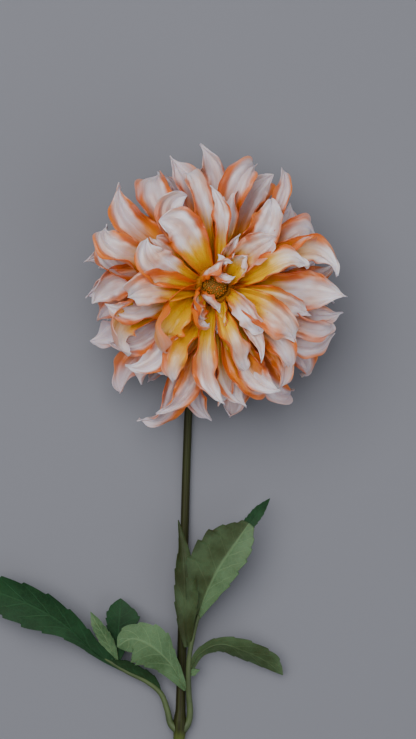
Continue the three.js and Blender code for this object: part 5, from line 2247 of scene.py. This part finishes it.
@dataclass(frozen=True)
class Studio:
    """The plain grey floor, the soft light and the camera that looks straight down.

    Args:
        camera_height: height of the camera, in metres, like the sizes below.
        camera_offset: how far the camera stands from the bloom's axis.
        scale_height: height at which a pixel shows metres_a_pixel.
        metres_a_pixel: what a pixel shows there.
        picture_height: pixels from the picture's top to its bottom.
        sensor: the camera's sensor, in millimetres.
        floor_size: side of the floor.
        floor_drop: how far it lies under the table's height.
        floor_colour: its colour.
        lamps: the lamps.
        sky_colour, sky_strength: the light from all round.
    """

    camera_height: float = 1.2
    camera_offset: tuple[float, float] = (-0.004, -0.0476)
    scale_height: float = 0.040
    metres_a_pixel: float = 0.000577
    picture_height: float = 739.0
    sensor: float = 36.0
    floor_size: float = 6.0
    floor_drop: float = 0.0002
    floor_colour: Colour = (0.176, 0.182, 0.209, 1.0)
    lamps: tuple[Lamp, ...] = (
        Lamp("key", (-0.42, 0.52, 1.48), 1.7, 35.5, (1.0, 0.98, 0.96)),
        Lamp("fill", (1.15, -0.6, 0.85), 1.6, 10.0, (0.95, 0.97, 1.0)),
    )
    sky_colour: Colour = (0.8, 0.83, 0.88, 1.0)
    sky_strength: float = 0.27

    def floor(self) -> None:
        """Lays the floor."""
        Workshop.clear_selection()
        bpy.ops.mesh.primitive_plane_add(size=self.floor_size, location=(0, 0, -self.floor_drop))
        floor = bpy.context.active_object
        floor.name = "floor"
        p, made = Painter.material("plain_floor")
        p.finish(Base_Color=self.floor_colour, Roughness=0.9)
        Workshop.dress(floor, made)

    def sky(self) -> None:
        """Lets an even light in from all round."""
        world = bpy.data.worlds.new("studio")
        world.use_nodes = True
        inputs = world.node_tree.nodes["Background"].inputs
        inputs["Color"].default_value = self.sky_colour
        inputs["Strength"].default_value = self.sky_strength
        bpy.context.scene.world = world

    def camera(self, axis: np.ndarray) -> None:
        """Stands the camera over the flower, so that it shows what the photo shows.

        Args:
            axis: the bloom's axis on the table, in millimetres.
        """
        lens = bpy.data.cameras.new("camera")
        pixels_a_radian = (self.camera_height - self.scale_height) / self.metres_a_pixel
        lens.sensor_width = self.sensor
        lens.lens = pixels_a_radian / self.picture_height * self.sensor
        camera = bpy.data.objects.new("camera", lens)
        camera.location = (
            axis[0] * MM + self.camera_offset[0],
            axis[1] * MM + self.camera_offset[1],
            self.camera_height,
        )
        bpy.context.scene.collection.objects.link(camera)
        bpy.context.scene.camera = camera

    def build(self, axis: np.ndarray) -> None:
        """Sets up floor, light and camera.

        Args:
            axis: the bloom's axis on the table, in millimetres.
        """
        self.floor()
        for lamp in self.lamps:
            lamp.hang()
        self.sky()
        self.camera(axis)


def main() -> None:
    """Builds the dressed flower round its solids."""
    logging.basicConfig(level=logging.INFO, format="%(message)s")
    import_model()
    low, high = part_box("disc_florets")
    axis = np.array([(low.x + high.x) / 2 / MM, (low.y + high.y) / 2 / MM, 0.0])
    Studio().build(axis)
    streaks = Streaks().build()
    Bloom(axis).build(PETAL_FACE.build(streaks), PETAL_BACK.build(streaks))
    Head(axis).build(HEAD_FLESH.build())
    Disc(axis).build(DiscFinish().build())
    Calyx(axis).build(GREEN_SKIN.build())
    Stem(axis).build(StemFinish().build())
    upper, under, petiole = LEAF_FACE.build(), LEAF_UNDERSIDE.build(), PETIOLE_SKIN.build()
    for leaf in (RIGHT_LEAF, LEFT_LEAF):
        leaf.build(axis, upper, under)
        leaf.build_rachis(axis, petiole)


if __name__ == "__main__":
    main()
